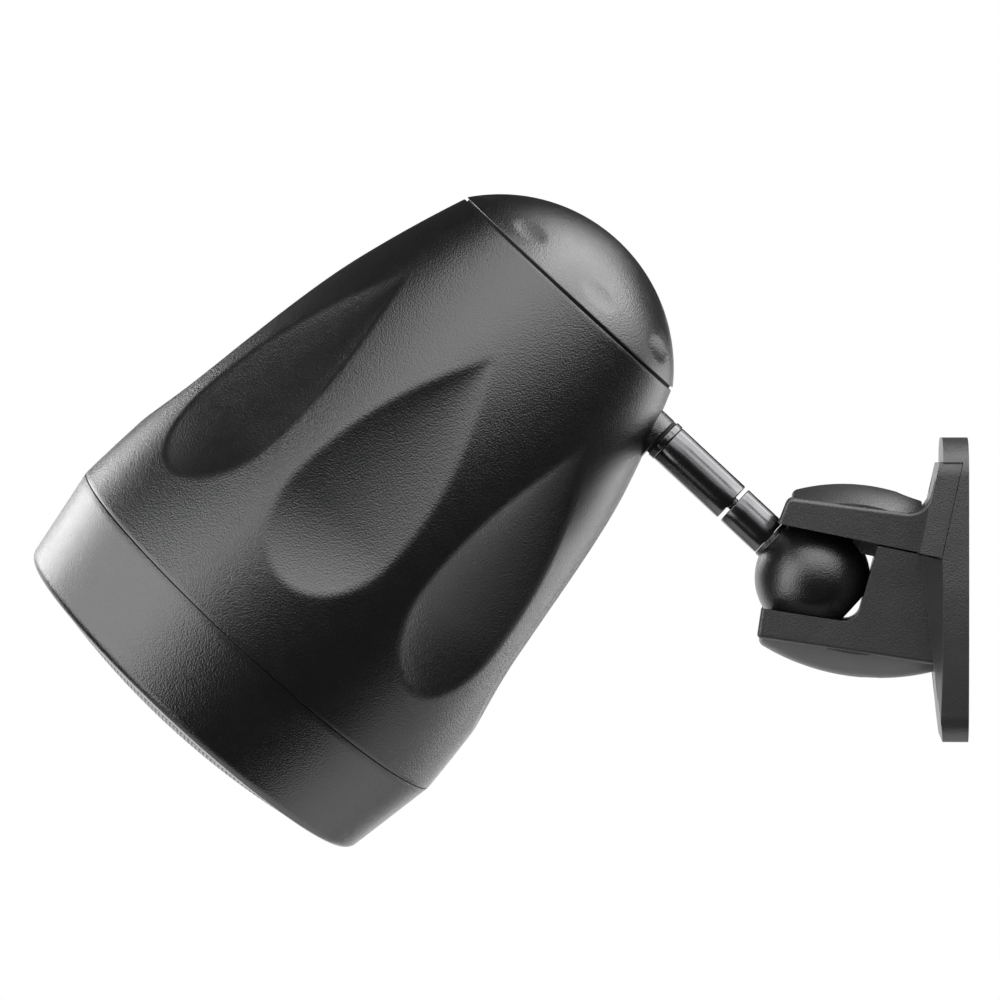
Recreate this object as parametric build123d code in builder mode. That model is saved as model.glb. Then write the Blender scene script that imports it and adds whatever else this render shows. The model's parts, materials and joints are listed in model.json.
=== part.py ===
from build123d import *
import os
from math import asin, cos, radians, sin, tan

# Outdoor patio speaker on a ball-jointed wall bracket, in millimetres.
# Frame: +Z up, +X into the wall, origin at the centre of the wall plate's back face.
# Speaker stations count along the speaker axis from the rear joint line, negative to the front.
# Stem stations count along the stem from the speaker axis towards the ball.

# Where the pieces stand
ball_reach = 60.9
ball_rise = 4.0
speaker_pitch = 47.1
stem_length = 148.2
stem_setback = 16.8
socket_tilt = 11.6

# Clearances
running_gap = 0.05
screw_gap = 0.2
ball_gap = 0.3
seat_gap = 0.2
nut_gap = 0.3

# Main housing shell
housing_length = 183.2
housing_front_r = 93.2
housing_rear_r = 56.0
profile_straight = 0.3
profile_power = 2.25
profile_stations = 9
housing_wall = 4.0
baffle_thickness = 6.0

# Teardrop scallops round the housing
scallop_count = 8
scallop_tip = 38.0
scallop_margin = 29.7
scallop_depth = 4.1
scallop_tip_rise = 0.08
scallop_wheel_r = 350.0
scallop_stations = 8

# Rear cap and its seal
cap_height = 28.4
cap_wall = 3.5
cap_seam = 1.2
cap_skirt_depth = 7.0
cap_skirt_wall = 2.6
cap_skirt_gap = 0.3
cap_seal_width = 2.0
cap_seal_recess = 1.2
dent_count = 8
dent_turn = 14.0
dent_rise = 7.8
dent_long = 44.0
dent_short = 24.0
dent_depth = 0.9
post_r = 4.0
post_circle_r = 27.0
post_count = 4
post_reach = 12.0

# Front bezel and its seal
bezel_length = 38.8
bezel_taper = 6.4
bezel_wall = 3.5
bezel_corner_r = 4.0
bezel_lip_rise = 2.0
bezel_seal = 0.6
bezel_seal_recess = 1.2
bezel_flange_width = 10.0
bezel_flange = 5.0
bezel_screw_inset = 7.4
bezel_screw_count = 8

# Domed grille
grille_inset = 10.8
grille_rise = 9.0
grille_sheet = 1.0
grille_skirt = 5.0
grille_ledge_width = 3.0
grille_ledge = 3.0
grille_border = 10.0
grille_bar = 4.0
grille_rings = 5

# Woofer
flange_gap = 1.2
flange_seat = 8.0
flange_thickness = 3.0
woofer_seal = 1.0
woofer_screw_inset = 4.0
woofer_screw_count = 8
basket_rim = 14.0
basket_wall = 3.0
basket_depth = 35.0
basket_floor = 2.5
basket_floor_r = 47.0
spider_ledge = 4.5
spider_ledge_width = 6.0
window_count = 6
window_width = 30.0
window_height = 16.0
surround_width = 10.0
cone_depth = 28.0
cone_sheet = 1.2
cone_neck = 1.5
surround_sheet = 1.0
surround_foot = 4.0
coil_r = 16.6
coil_sheet = 0.7
coil_length = 26.0
coil_overlap = 3.0
coil_air = 0.7
dust_cap_r = 22.0
dust_cap_rise = 7.0
dust_cap_sheet = 0.8
spider_sheet = 0.8
top_plate_thickness = 6.0
top_plate_r = 45.0
magnet_r = 46.0
magnet_bore_r = 21.0
magnet_thickness = 16.0
yoke_plate = 6.0
yoke_r = 44.0

# Tweeter on its bridge
bridge_width = 18.0
bridge_thickness = 3.0
bridge_rise = 11.0
bridge_foot = 6.0
bridge_inset = 2.0
hub_r = 19.0
tweeter_r = 16.5
tweeter_depth = 10.0
tweeter_spigot_r = 12.0
tweeter_spigot = 7.0
tweeter_recess = 2.0
tweeter_dome_r = 10.0
tweeter_dome_rise = 4.0

# Crossover board behind the woofer
board_r = 34.0
board_thickness = 1.6
inductor_r = 12.0
inductor_bore_r = 5.0
inductor_height = 12.0
inductor_x = 10.0
inductor_y = 14.0
capacitor_r = 5.0
capacitor_height = 16.0
capacitor_offset = 14.0
capacitor_pitch = 14.0
terminal_length = 20.0
terminal_width = 9.0
terminal_height = 9.0
terminal_x = 8.0
terminal_y = 16.0
terminal_hole_r = 1.6

# Screws that hold the speaker together
screw_r = 1.5
screw_length = 8.0
screw_head_r = 2.6
screw_head = 1.8

# Stem between speaker and ball
stem_r = 8.3
pad_rise = 1.12
pad_depth = 14.0
pad_length = 21.8
pad_width = 19.4
pad_shift = 2.7
stem_seal = 1.2
stem_seal_r = 7.2
lock_ring_r = 8.7
lock_ring = 3.0
stud_length = 18.8
stem_joint = 1.6
stem_edge = 0.5
rod_r = 2.8
rod_bore_r = 1.2
rod_tail = 3.1
washer_r = 7.0
washer_thickness = 1.2
nut_across = 10.0
nut_thickness = 5.0

# Ball
ball_r = 23.0
ball_flat = 19.5
neck_r = 8.4
neck_rise = 0.4
ball_nut_sink = 6.0

# Wall plate, seen from the front as a rounded shield
plate_half_width = 44.0
plate_waist_half_width = 43.0
plate_shoulder_half_width = 41.0
plate_heel_half_width = 42.0
plate_foot_half_width = 30.0
plate_top = 59.8
plate_bottom = 59.5
plate_shoulder = 44.0
plate_waist = 14.0
plate_heel = 47.0
plate_rim = 10.0
plate_crown = 18.0

# Sloped seat of the plate and the clamp flange that lies on it
seat_tilt = 12.4
seat_top_depth = 2.2
seat_top = 50.0
clamp_flange = 8.8
flange_inset = 0.8

# Jaws round the ball: flat-sided arms with a domed back
arm_half_width = 23.5
arm_edge = 1.6
dome_half_width = 22.5
parting_gap = 0.8
mouth_gap = 0.5
upper_jaw_rise = 18.8
upper_front = 17.8
upper_lean = 1.8
upper_height = 10.8
upper_rear_height = 14.8
upper_corner_r = 3.0
upper_blend_r = 9.0
upper_dome_floor = 25.0
upper_dome_front = 8.3
upper_dome_front_r = 34.6
upper_dome_middle = 12.0
upper_dome_r = 37.4
upper_dome_rear = 43.3
upper_dome_rear_r = 30.4
dome_corner_r = 3.0
lower_tilt = 8.5
lower_jaw_drop = 14.6
lower_front = 18.2
lower_height = 11.5
lower_dome_axis = 6.0
lower_dome_floor = 20.0
lower_dome_front = 17.4
lower_dome_front_r = 29.0
lower_dome_middle = 20.0
lower_dome_r = 36.6
lower_dome_rear = 53.5
lower_dome_rear_r = 29.6
web_foot = 19.7
web_head = 23.8
web_blend_r = 6.0

# Clamp screw behind the ball
clamp_setback = 30.5
clamp_screw_r = 2.5
clamp_head_r = 4.6
clamp_head = 5.0
clamp_head_seat = 32.0
clamp_key = 4.0
tongue_drop = 5.4
tongue_half_width = 9.0
tongue_rear = 8.0
tongue_front = 18.0
clamp_nut_across = 8.0
clamp_nut = 4.0
clamp_nut_seat = 28.6

# Wall screw holes
wall_hole_r = 2.6
wall_hole_pitch_y = 60.0
wall_hole_pitch_z = 76.0
wall_head_r = 5.5
wall_head_floor = 6.5

# Sizes that follow the housing
scallop_front = housing_length - scallop_margin
bezel_front_r = housing_front_r - bezel_taper
bezel_flange_r = housing_front_r - bezel_flange_width
bezel_screw_circle_r = housing_front_r - bezel_screw_inset
grille_r = bezel_front_r - grille_inset
grille_ledge_r = grille_r - grille_ledge_width
grille_pitch = (grille_r - grille_border) / grille_rings
grille_hole_r = (grille_pitch - grille_bar) / 2
flange_r = bezel_flange_r - flange_gap
baffle_bore_r = flange_r - flange_seat
woofer_screw_circle_r = flange_r - woofer_screw_inset
basket_mouth_r = flange_r - basket_rim
cone_r = basket_mouth_r - surround_width
bridge_reach = flange_r - bridge_inset

# Directions and working planes
pitch = radians(speaker_pitch)
tilt = radians(socket_tilt)
lean = tan(radians(seat_tilt))
ball_centre = Vector(-ball_reach, 0, ball_rise)
rear_dir = Vector(cos(pitch), 0, sin(pitch))
stem_dir = Vector(sin(pitch), 0, -cos(pitch))
stem_foot = ball_centre - stem_dir * stem_length
seam_centre = stem_foot + rear_dir * stem_setback
mouth_dir = Vector(-cos(tilt), 0, sin(tilt))
clamp_dir = Vector(sin(tilt), 0, cos(tilt))
lower_up = Vector(sin(radians(lower_tilt)), 0, cos(radians(lower_tilt)))
lower_out = Vector(-cos(radians(lower_tilt)), 0, sin(radians(lower_tilt)))

speaker = Plane(origin=seam_centre, x_dir=stem_dir, z_dir=rear_dir)
meridian = Plane(origin=seam_centre, x_dir=stem_dir, z_dir=(0, -1, 0))
speaker_axis = Axis(seam_centre, rear_dir)
stem = Plane(origin=stem_foot, x_dir=rear_dir, z_dir=stem_dir)
socket_side = Plane(origin=ball_centre, x_dir=clamp_dir, z_dir=(0, -1, 0))
socket_axis = Axis(ball_centre, mouth_dir)
ball_side = Plane(origin=ball_centre, x_dir=(1, 0, 0), z_dir=(0, -1, 0))
lower_side = Plane(origin=ball_centre, x_dir=lower_up, z_dir=(0, -1, 0))
clamp_plane = Plane(origin=ball_centre - mouth_dir * clamp_setback, x_dir=mouth_dir, z_dir=clamp_dir)
wall = Plane(origin=(0, 0, 0), x_dir=(0, -1, 0), z_dir=(-1, 0, 0))
BASE = (Align.CENTER, Align.CENTER, Align.MIN)
TOP = (Align.CENTER, Align.CENTER, Align.MAX)


def housing_radius(station):
    """Ridge radius of the housing at a distance in front of the rear joint line."""
    share = station / housing_length
    swell = 1 - (1 - share) ** profile_power
    rise = profile_straight * share + (1 - profile_straight) * swell
    return housing_rear_r + (housing_front_r - housing_rear_r) * rise


def scallop_radius(station):
    """Floor radius of a teardrop scallop, tangent to the housing near its tip."""
    share = (station - scallop_tip) / (scallop_front - scallop_tip)
    depth = 6.75 * scallop_depth * (share**2 + scallop_tip_rise * share) * (1 - share)
    return housing_radius(station) - depth


def spread(start, end, count):
    """Evenly spaced stations from start to end."""
    return [start + (end - start) * i / (count - 1) for i in range(count)]


def crossing(p, p_dir, q, q_dir):
    """Point where the line through p along p_dir meets the line through q along q_dir."""
    across = p_dir[0] * q_dir[1] - p_dir[1] * q_dir[0]
    reach = ((q[0] - p[0]) * q_dir[1] - (q[1] - p[1]) * q_dir[0]) / across
    return (p[0] + p_dir[0] * reach, p[1] + p_dir[1] * reach)


def scallop_cutter(inset):
    """Wheel-shaped cutter for one teardrop, with its floor sunk by inset, at the speaker's own origin."""
    hub = housing_front_r + scallop_wheel_r
    run_out = housing_length / 8
    wheel = Plane(origin=(hub, 0, 0), x_dir=(-1, 0, 0), z_dir=(0, 1, 0))
    stations = spread(scallop_tip, scallop_front, scallop_stations)
    with BuildPart() as cutter:
        with BuildSketch(wheel):
            with BuildLine():
                floor = Spline(*[(hub - scallop_radius(s) + inset, -s) for s in stations])
                tail = floor @ 0 - (floor % 0) * run_out
                nose = floor @ 1 + (floor % 1) * run_out
                outside = scallop_wheel_r - run_out
                Polyline(floor @ 0, tail, (outside, tail.Y), (outside, nose.Y), nose, floor @ 1)
            make_face()
        revolve(axis=Axis((hub, 0, 0), (0, 0, -1)))
    return cutter.part


def bullet(inset, rear, front):
    """Solid of the housing's scalloped form, sunk by inset, between two stations, at the origin."""
    turn = radians(180 / scallop_count)
    ridge = Plane(origin=(0, 0, 0), x_dir=(cos(turn), sin(turn), 0), z_dir=(sin(turn), -cos(turn), 0))
    cutter = scallop_cutter(inset)
    with BuildPart() as body:
        with BuildSketch(ridge):
            with BuildLine():
                stations = spread(rear, front, profile_stations)
                side = Spline(*[(housing_radius(s) - inset, -s) for s in stations])
                Polyline(side @ 0, (0, -rear), (0, -front), side @ 1)
            make_face()
        revolve(axis=Axis.Z)
        with PolarLocations(0, scallop_count):
            add(cutter, mode=Mode.SUBTRACT)
    return body.part


def shield(inset):
    """Front outline shared by the wall plate and the clamp flange, drawn in by inset."""
    bottom = inset - plate_bottom
    with BuildSketch() as outline:
        with BuildLine():
            foot = Line((0, bottom), (plate_foot_half_width, bottom))
            heel = TangentArc(foot @ 1, (plate_heel_half_width - inset, -plate_heel), tangent=foot % 1)
            widest = (plate_half_width - inset, -plate_waist)
            flank = ThreePointArc(heel @ 1, widest, (plate_waist_half_width - inset, plate_waist))
            shoulder = Line(flank @ 1, (plate_shoulder_half_width - inset, plate_shoulder))
            Spline(shoulder @ 1, (0, plate_top - inset), tangents=(shoulder % 1, (-1, 0)))
            mirror(about=Plane.YZ)
        make_face()
    return outline.sketch


def pan_screw(length):
    """Add one pan-head screw at each current location, its head standing on the location's plane."""
    Cylinder(screw_head_r, screw_head, align=TOP)
    Cylinder(screw_r, length, align=BASE)


def hex_nut(seat, across, thickness, bore_r):
    """Hexagon nut standing on a seat plane."""
    with BuildPart() as nut:
        with BuildSketch(seat):
            RegularPolygon(across / 2, 6, major_radius=False)
            Circle(bore_r, mode=Mode.SUBTRACT)
        extrude(amount=thickness)
    return nut


def save(piece, name):
    """Label a finished piece and write its STEP file."""
    piece.part.label = name
    export_step(piece.part, f"parts/{name}.step")


os.makedirs("parts", exist_ok=True)

# Stations of the stack behind the grille, worked out from the front of the housing
baffle_front = -housing_length
bezel_rear = baffle_front - bezel_seal
bezel_front = bezel_rear - bezel_length
lip_front = bezel_front - bezel_lip_rise
ledge_front = lip_front + grille_skirt
flange_rear = baffle_front - woofer_seal
flange_front = flange_rear - flange_thickness
basket_rear = flange_rear + basket_depth
spider_station = basket_rear - basket_floor - spider_ledge
top_plate_rear = basket_rear + top_plate_thickness
magnet_rear = top_plate_rear + magnet_thickness
cone_front = flange_front
neck_station = cone_front + cone_depth
coil_front = neck_station - coil_overlap
bridge_front = flange_front - bridge_rise - bridge_thickness
tweeter_front = bridge_front - tweeter_depth
cap_base = cap_seam / 2
board_front = -post_reach - board_thickness

# Stations along the stem, from the pad to the ball
pad_face = housing_radius(stem_setback + stem_seal_r) + pad_rise
ring_start = pad_face + stem_seal
sleeve_start = ring_start + lock_ring
washer_start = pad_face - pad_depth - washer_thickness
stem_nut_start = washer_start - nut_gap - nut_thickness
rod_inner_end = stem_nut_start - rod_tail
neck_start = stem_length - ball_r - neck_rise
stud_start = neck_start - seat_gap - stud_length
sleeve_end = stud_start - stem_joint
flat_station = stem_length + ball_flat
ball_nut_start = flat_station - ball_nut_sink

# Radii that follow from the pieces they fit
pilot_r = screw_r + running_gap
through_r = screw_r + screw_gap
skirt_r = housing_rear_r - housing_wall - cap_skirt_gap
grille_bore_r = grille_r + seat_gap
coil_inner_r = coil_r - coil_sheet
pole_r = coil_inner_r - coil_air
gap_r = coil_r + coil_air
surround_r = (cone_r + basket_mouth_r) / 2
surround_roll = (basket_mouth_r - cone_r) / 2
rod_hole_r = rod_r + running_gap

# Main housing: scalloped shell, baffle ring at the front, flat pad with a bore for the stem
shell = bullet(0, cap_base, housing_length)
hollow = bullet(housing_wall, 0, housing_length - baffle_thickness)
with BuildPart(speaker) as main_housing:
    add(shell)
    add(hollow, mode=Mode.SUBTRACT)
    with BuildSketch(stem.offset(pad_face)):
        with Locations((-pad_shift, 0)):
            SlotOverall(pad_length, pad_width)
    extrude(amount=-pad_depth)
    with BuildSketch(stem.offset(pad_face)):
        Circle(rod_hole_r)
    extrude(amount=-2 * pad_depth, mode=Mode.SUBTRACT)
    with BuildSketch(speaker.offset(baffle_front)):
        Circle(baffle_bore_r)
        with PolarLocations(woofer_screw_circle_r, woofer_screw_count, 180 / woofer_screw_count):
            Circle(pilot_r)
        with PolarLocations(bezel_screw_circle_r, bezel_screw_count):
            Circle(pilot_r)
    extrude(amount=baffle_thickness, mode=Mode.SUBTRACT)
save(main_housing, "main_housing")

# Rear cap: dome with finger dents, skirt inside the housing neck, posts for the crossover board
with BuildPart() as dent:
    with BuildSketch(Plane.YX):
        Ellipse(dent_long / 2, dent_short / 2)
        with Locations((0, -dent_short / 2)):
            Rectangle(dent_long, dent_short, mode=Mode.SUBTRACT)
    revolve(axis=Axis.Y)

dome_r = (housing_rear_r**2 + cap_height**2) / (2 * cap_height)
dome_centre = cap_base + cap_height - dome_r
dent_angle = asin((cap_base + dent_rise - dome_centre) / dome_r)
dent_reach = dome_r + dent_short / 2 - dent_depth
with BuildPart(speaker) as rear_cap:
    with BuildSketch(speaker.offset(-post_reach)):
        with PolarLocations(post_circle_r, post_count):
            Circle(post_r)
            Circle(pilot_r, mode=Mode.SUBTRACT)
    extrude(amount=post_reach + cap_height)
    with Locations((0, 0, dome_centre)):
        Sphere(dome_r - cap_wall / 2, mode=Mode.INTERSECT)
    with BuildSketch(meridian):
        with Locations((0, dome_centre)):
            Circle(dome_r)
            Circle(dome_r - cap_wall, mode=Mode.SUBTRACT)
        with Locations((dome_r / 2, cap_base + dome_r / 2)):
            Rectangle(dome_r, dome_r, mode=Mode.INTERSECT)
        with Locations((skirt_r - cap_skirt_wall / 2, cap_base + cap_wall)):
            Rectangle(cap_skirt_wall, cap_skirt_depth + cap_wall, align=(Align.CENTER, Align.MAX))
    revolve(axis=speaker_axis)
    with Locations((0, 0, dome_centre + dent_reach * sin(dent_angle))):
        with PolarLocations(dent_reach * cos(dent_angle), dent_count, dent_turn):
            add(dent.part, mode=Mode.SUBTRACT)
save(rear_cap, "rear_cap")

# Seal that shows as the dark joint line behind the housing
with BuildPart() as rear_cap_gasket:
    with BuildSketch(speaker.offset(-cap_base)):
        Circle(housing_rear_r - cap_seal_recess)
        Circle(housing_rear_r - cap_seal_recess - cap_seal_width, mode=Mode.SUBTRACT)
    extrude(amount=cap_seam)
save(rear_cap_gasket, "rear_cap_gasket")

# Front bezel: tapered ring with a lip round the grille and an inner flange for its screws
def bezel_radius(station):
    """Outer radius of the bezel at a station."""
    share = (bezel_rear - station) / bezel_length
    return housing_front_r + (bezel_front_r - housing_front_r) * share


shelf = ledge_front + grille_ledge
inner_front = bezel_rear - bezel_flange
with BuildPart() as front_bezel:
    with BuildSketch(meridian):
        with BuildLine():
            Polyline(
                (housing_front_r, bezel_rear),
                (bezel_front_r, bezel_front),
                (grille_bore_r, lip_front),
                (grille_bore_r, ledge_front),
                (grille_ledge_r, ledge_front),
                (grille_ledge_r, shelf),
                (bezel_radius(shelf) - bezel_wall, shelf),
                (bezel_radius(inner_front) - bezel_wall, inner_front),
                (bezel_flange_r, inner_front),
                (bezel_flange_r, bezel_rear),
                close=True,
            )
        make_face()
        corner = vertices().sort_by_distance((bezel_front_r, bezel_front))[0]
        fillet(corner, bezel_corner_r)
    revolve(axis=speaker_axis)
    with BuildSketch(speaker.offset(bezel_rear)):
        with PolarLocations(bezel_screw_circle_r, bezel_screw_count):
            Circle(through_r)
    extrude(amount=-bezel_flange, mode=Mode.SUBTRACT)
save(front_bezel, "front_bezel")

with BuildPart() as bezel_gasket:
    with BuildSketch(speaker.offset(bezel_rear)):
        Circle(housing_front_r - bezel_seal_recess)
        Circle(bezel_flange_r, mode=Mode.SUBTRACT)
        with PolarLocations(bezel_screw_circle_r, bezel_screw_count):
            Circle(through_r, mode=Mode.SUBTRACT)
    extrude(amount=bezel_seal)
save(bezel_gasket, "bezel_gasket")

# Grille: shallow domed sheet with a skirt pressed into the bezel, and rings of openings
sheet_r = (grille_r**2 + grille_rise**2) / (2 * grille_rise)
sheet_centre = lip_front - grille_rise + sheet_r
with BuildPart() as grille:
    with BuildSketch(meridian):
        with Locations((0, sheet_centre)):
            Circle(sheet_r)
            Circle(sheet_r - grille_sheet, mode=Mode.SUBTRACT)
        with Locations((0, lip_front)):
            Rectangle(grille_r, grille_rise, align=(Align.MIN, Align.MAX), mode=Mode.INTERSECT)
        with Locations((grille_r, lip_front - grille_sheet)):
            Rectangle(grille_sheet, grille_skirt + grille_sheet, align=(Align.MAX, Align.MIN))
        with Locations((0, sheet_centre)):
            Circle(sheet_r, mode=Mode.INTERSECT)
    revolve(axis=speaker_axis)
    with BuildSketch(speaker.offset(lip_front)):
        RegularPolygon(grille_hole_r, 6)
        for ring in range(1, grille_rings + 1):
            with PolarLocations(ring * grille_pitch, 6 * ring):
                RegularPolygon(grille_hole_r, 6)
    extrude(amount=-2 * grille_rise, mode=Mode.SUBTRACT)
save(grille, "grille")

# Woofer basket: flange, windowed cone and spider ledge
ledge_r = basket_floor_r - basket_wall
with BuildPart(speaker) as woofer_basket:
    with BuildSketch(meridian):
        with BuildLine():
            Polyline(
                (flange_r, flange_front),
                (flange_r, flange_rear),
                (basket_mouth_r + basket_wall, flange_rear),
                (basket_floor_r, spider_station),
                (basket_floor_r, basket_rear),
                (magnet_bore_r, basket_rear),
                (magnet_bore_r, basket_rear - basket_floor),
                (ledge_r - spider_ledge_width, basket_rear - basket_floor),
                (ledge_r - spider_ledge_width, spider_station),
                (ledge_r, spider_station),
                (basket_mouth_r, flange_front),
                close=True,
            )
        make_face()
    revolve(axis=speaker_axis)
    with Locations((0, 0, (flange_rear + spider_station) / 2)):
        with PolarLocations((basket_mouth_r + basket_floor_r) / 2, window_count):
            Box(basket_mouth_r - ledge_r + 4 * basket_wall, window_width, window_height, mode=Mode.SUBTRACT)
    with BuildSketch(speaker.offset(flange_front)):
        with PolarLocations(woofer_screw_circle_r, woofer_screw_count, 180 / woofer_screw_count):
            Circle(through_r)
        with PolarLocations(bridge_reach - bridge_foot / 2, 2):
            Circle(pilot_r)
    extrude(amount=flange_thickness, mode=Mode.SUBTRACT)
save(woofer_basket, "woofer_basket")

with BuildPart() as woofer_gasket:
    with BuildSketch(speaker.offset(flange_rear)):
        Circle(flange_r)
        Circle(baffle_bore_r, mode=Mode.SUBTRACT)
        with PolarLocations(woofer_screw_circle_r, woofer_screw_count, 180 / woofer_screw_count):
            Circle(through_r, mode=Mode.SUBTRACT)
    extrude(amount=woofer_seal)
save(woofer_gasket, "woofer_gasket")

# Rubber half-roll that carries the cone's edge
with BuildPart() as surround:
    with BuildSketch(meridian):
        with Locations((surround_r, flange_front)):
            Circle(surround_roll)
            Circle(surround_roll - surround_sheet, mode=Mode.SUBTRACT)
            Rectangle(2 * basket_mouth_r, surround_roll, align=(Align.CENTER, Align.MIN), mode=Mode.SUBTRACT)
        with Locations((basket_mouth_r - surround_sheet, flange_front)):
            Rectangle(surround_foot + surround_sheet, surround_sheet, align=(Align.MIN, Align.MAX))
    revolve(axis=speaker_axis)
save(surround, "surround")

# Cone, dust cap and voice coil move as one
cone_edge_r = cone_r - ball_gap
cone_slope = (cone_depth - cone_sheet) / (cone_edge_r - coil_r)
with BuildPart() as cone:
    with BuildSketch(meridian):
        with BuildLine():
            Polyline(
                (cone_edge_r, cone_front),
                (cone_edge_r, cone_front + cone_sheet),
                (coil_r + cone_sheet, neck_station),
                (coil_r + cone_sheet, neck_station + cone_neck),
                (coil_r, neck_station + cone_neck),
                (coil_r, neck_station - cone_sheet),
                close=True,
            )
        make_face()
    revolve(axis=speaker_axis)
save(cone, "cone")

cap_edge = cone_front + (cone_edge_r - dust_cap_r) * cone_slope
cap_sphere_r = (dust_cap_r**2 + dust_cap_rise**2) / (2 * dust_cap_rise)
with BuildPart() as dust_cap:
    with BuildSketch(meridian):
        with Locations((0, cap_edge - dust_cap_rise + cap_sphere_r)):
            Circle(cap_sphere_r)
            Circle(cap_sphere_r - dust_cap_sheet, mode=Mode.SUBTRACT)
        with Locations((0, cap_edge)):
            Rectangle(cap_sphere_r, cap_sphere_r, align=(Align.MIN, Align.MAX), mode=Mode.INTERSECT)
    revolve(axis=speaker_axis)
save(dust_cap, "dust_cap")

with BuildPart() as voice_coil:
    with BuildSketch(speaker.offset(coil_front)):
        Circle(coil_r)
        Circle(coil_inner_r, mode=Mode.SUBTRACT)
    extrude(amount=coil_length)
save(voice_coil, "voice_coil")

with BuildPart() as spider:
    with BuildSketch(speaker.offset(spider_station)):
        Circle(ledge_r - seat_gap)
        Circle(coil_r + ball_gap, mode=Mode.SUBTRACT)
    extrude(amount=-spider_sheet)
save(spider, "spider")

# Magnet system: top plate, ring magnet, yoke with its pole
with BuildPart() as top_plate:
    with BuildSketch(speaker.offset(basket_rear)):
        Circle(top_plate_r)
        Circle(gap_r, mode=Mode.SUBTRACT)
    extrude(amount=top_plate_thickness)
save(top_plate, "top_plate")

with BuildPart() as magnet:
    with BuildSketch(speaker.offset(top_plate_rear)):
        Circle(magnet_r)
        Circle(magnet_bore_r, mode=Mode.SUBTRACT)
    extrude(amount=magnet_thickness)
save(magnet, "magnet")

with BuildPart() as yoke:
    with BuildSketch(speaker.offset(magnet_rear)):
        Circle(yoke_r)
    extrude(amount=yoke_plate)
    with BuildSketch(speaker.offset(magnet_rear)):
        Circle(pole_r)
    extrude(amount=-(magnet_thickness + top_plate_thickness))
save(yoke, "yoke")

# Tweeter on a bridge across the woofer
with BuildPart() as tweeter_bridge:
    with BuildSketch(speaker.offset(bridge_front)):
        Rectangle(2 * bridge_reach, bridge_width)
        Circle(hub_r)
    extrude(amount=bridge_thickness)
    with BuildSketch(speaker.offset(flange_front)):
        with Locations((bridge_foot / 2 - bridge_reach, 0), (bridge_reach - bridge_foot / 2, 0)):
            Rectangle(bridge_foot, bridge_width)
    extrude(amount=-bridge_rise - bridge_thickness)
    with BuildSketch(speaker.offset(bridge_front)):
        Circle(tweeter_spigot_r + seat_gap)
        with PolarLocations(bridge_reach - bridge_foot / 2, 2):
            Circle(through_r)
    extrude(amount=bridge_rise + bridge_thickness, mode=Mode.SUBTRACT)
save(tweeter_bridge, "tweeter_bridge")

with BuildPart() as tweeter_cup:
    with BuildSketch(speaker.offset(bridge_front)):
        Circle(tweeter_r)
    extrude(amount=-tweeter_depth)
    with BuildSketch(speaker.offset(bridge_front)):
        Circle(tweeter_spigot_r)
    extrude(amount=tweeter_spigot)
    with BuildSketch(speaker.offset(tweeter_front)):
        Circle(tweeter_dome_r + seat_gap)
    extrude(amount=tweeter_recess, mode=Mode.SUBTRACT)
save(tweeter_cup, "tweeter_cup")

dome_floor = tweeter_front + tweeter_recess
tweeter_sphere_r = (tweeter_dome_r**2 + tweeter_dome_rise**2) / (2 * tweeter_dome_rise)
with BuildPart() as tweeter_dome:
    with BuildSketch(meridian):
        with Locations((0, dome_floor - tweeter_dome_rise + tweeter_sphere_r)):
            Circle(tweeter_sphere_r)
        with Locations((0, dome_floor)):
            Rectangle(tweeter_sphere_r, tweeter_sphere_r, align=(Align.MIN, Align.MAX), mode=Mode.INTERSECT)
    revolve(axis=speaker_axis)
save(tweeter_dome, "tweeter_dome")

# Crossover board on the rear cap's posts, with its coil, capacitors and terminals
with BuildPart() as crossover_board:
    with BuildSketch(speaker.offset(board_front)):
        Circle(board_r)
        with PolarLocations(post_circle_r, post_count):
            Circle(through_r, mode=Mode.SUBTRACT)
    extrude(amount=board_thickness)
save(crossover_board, "crossover_board")

with BuildPart() as inductor:
    with BuildSketch(speaker.offset(board_front)):
        with Locations((inductor_x, inductor_y)):
            Circle(inductor_r)
            Circle(inductor_bore_r, mode=Mode.SUBTRACT)
    extrude(amount=-inductor_height)
save(inductor, "inductor")

with BuildPart() as capacitors:
    with BuildSketch(speaker.offset(board_front)):
        with Locations((-capacitor_offset, 0)):
            with GridLocations(0, capacitor_pitch, 1, 2):
                Circle(capacitor_r)
    extrude(amount=-capacitor_height)
save(capacitors, "capacitors")

with BuildPart() as terminal_block:
    with BuildSketch(speaker.offset(board_front)):
        with Locations((terminal_x, -terminal_y)):
            Rectangle(terminal_length, terminal_width)
    extrude(amount=-terminal_height)
    with BuildSketch(speaker.offset(board_front - terminal_height)):
        with Locations((terminal_x, -terminal_y)):
            with GridLocations(terminal_length / 2, 0, 2, 1):
                Circle(terminal_hole_r)
    extrude(amount=terminal_height / 2, mode=Mode.SUBTRACT)
save(terminal_block, "terminal_block")

# Screw groups
with BuildPart(speaker.offset(flange_front)) as woofer_screws:
    with PolarLocations(woofer_screw_circle_r, woofer_screw_count, 180 / woofer_screw_count):
        pan_screw(screw_length)
save(woofer_screws, "woofer_screws")

with BuildPart(speaker.offset(inner_front)) as bezel_screws:
    with PolarLocations(bezel_screw_circle_r, bezel_screw_count):
        pan_screw(bezel_flange + bezel_seal + baffle_thickness - screw_gap)
save(bezel_screws, "bezel_screws")

with BuildPart(speaker.offset(bridge_front)) as bridge_screws:
    with PolarLocations(bridge_reach - bridge_foot / 2, 2):
        pan_screw(bridge_thickness + bridge_rise + flange_thickness - screw_gap)
save(bridge_screws, "bridge_screws")

with BuildPart(speaker.offset(board_front)) as board_screws:
    with PolarLocations(post_circle_r, post_count):
        pan_screw(screw_length)
save(board_screws, "board_screws")

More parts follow.
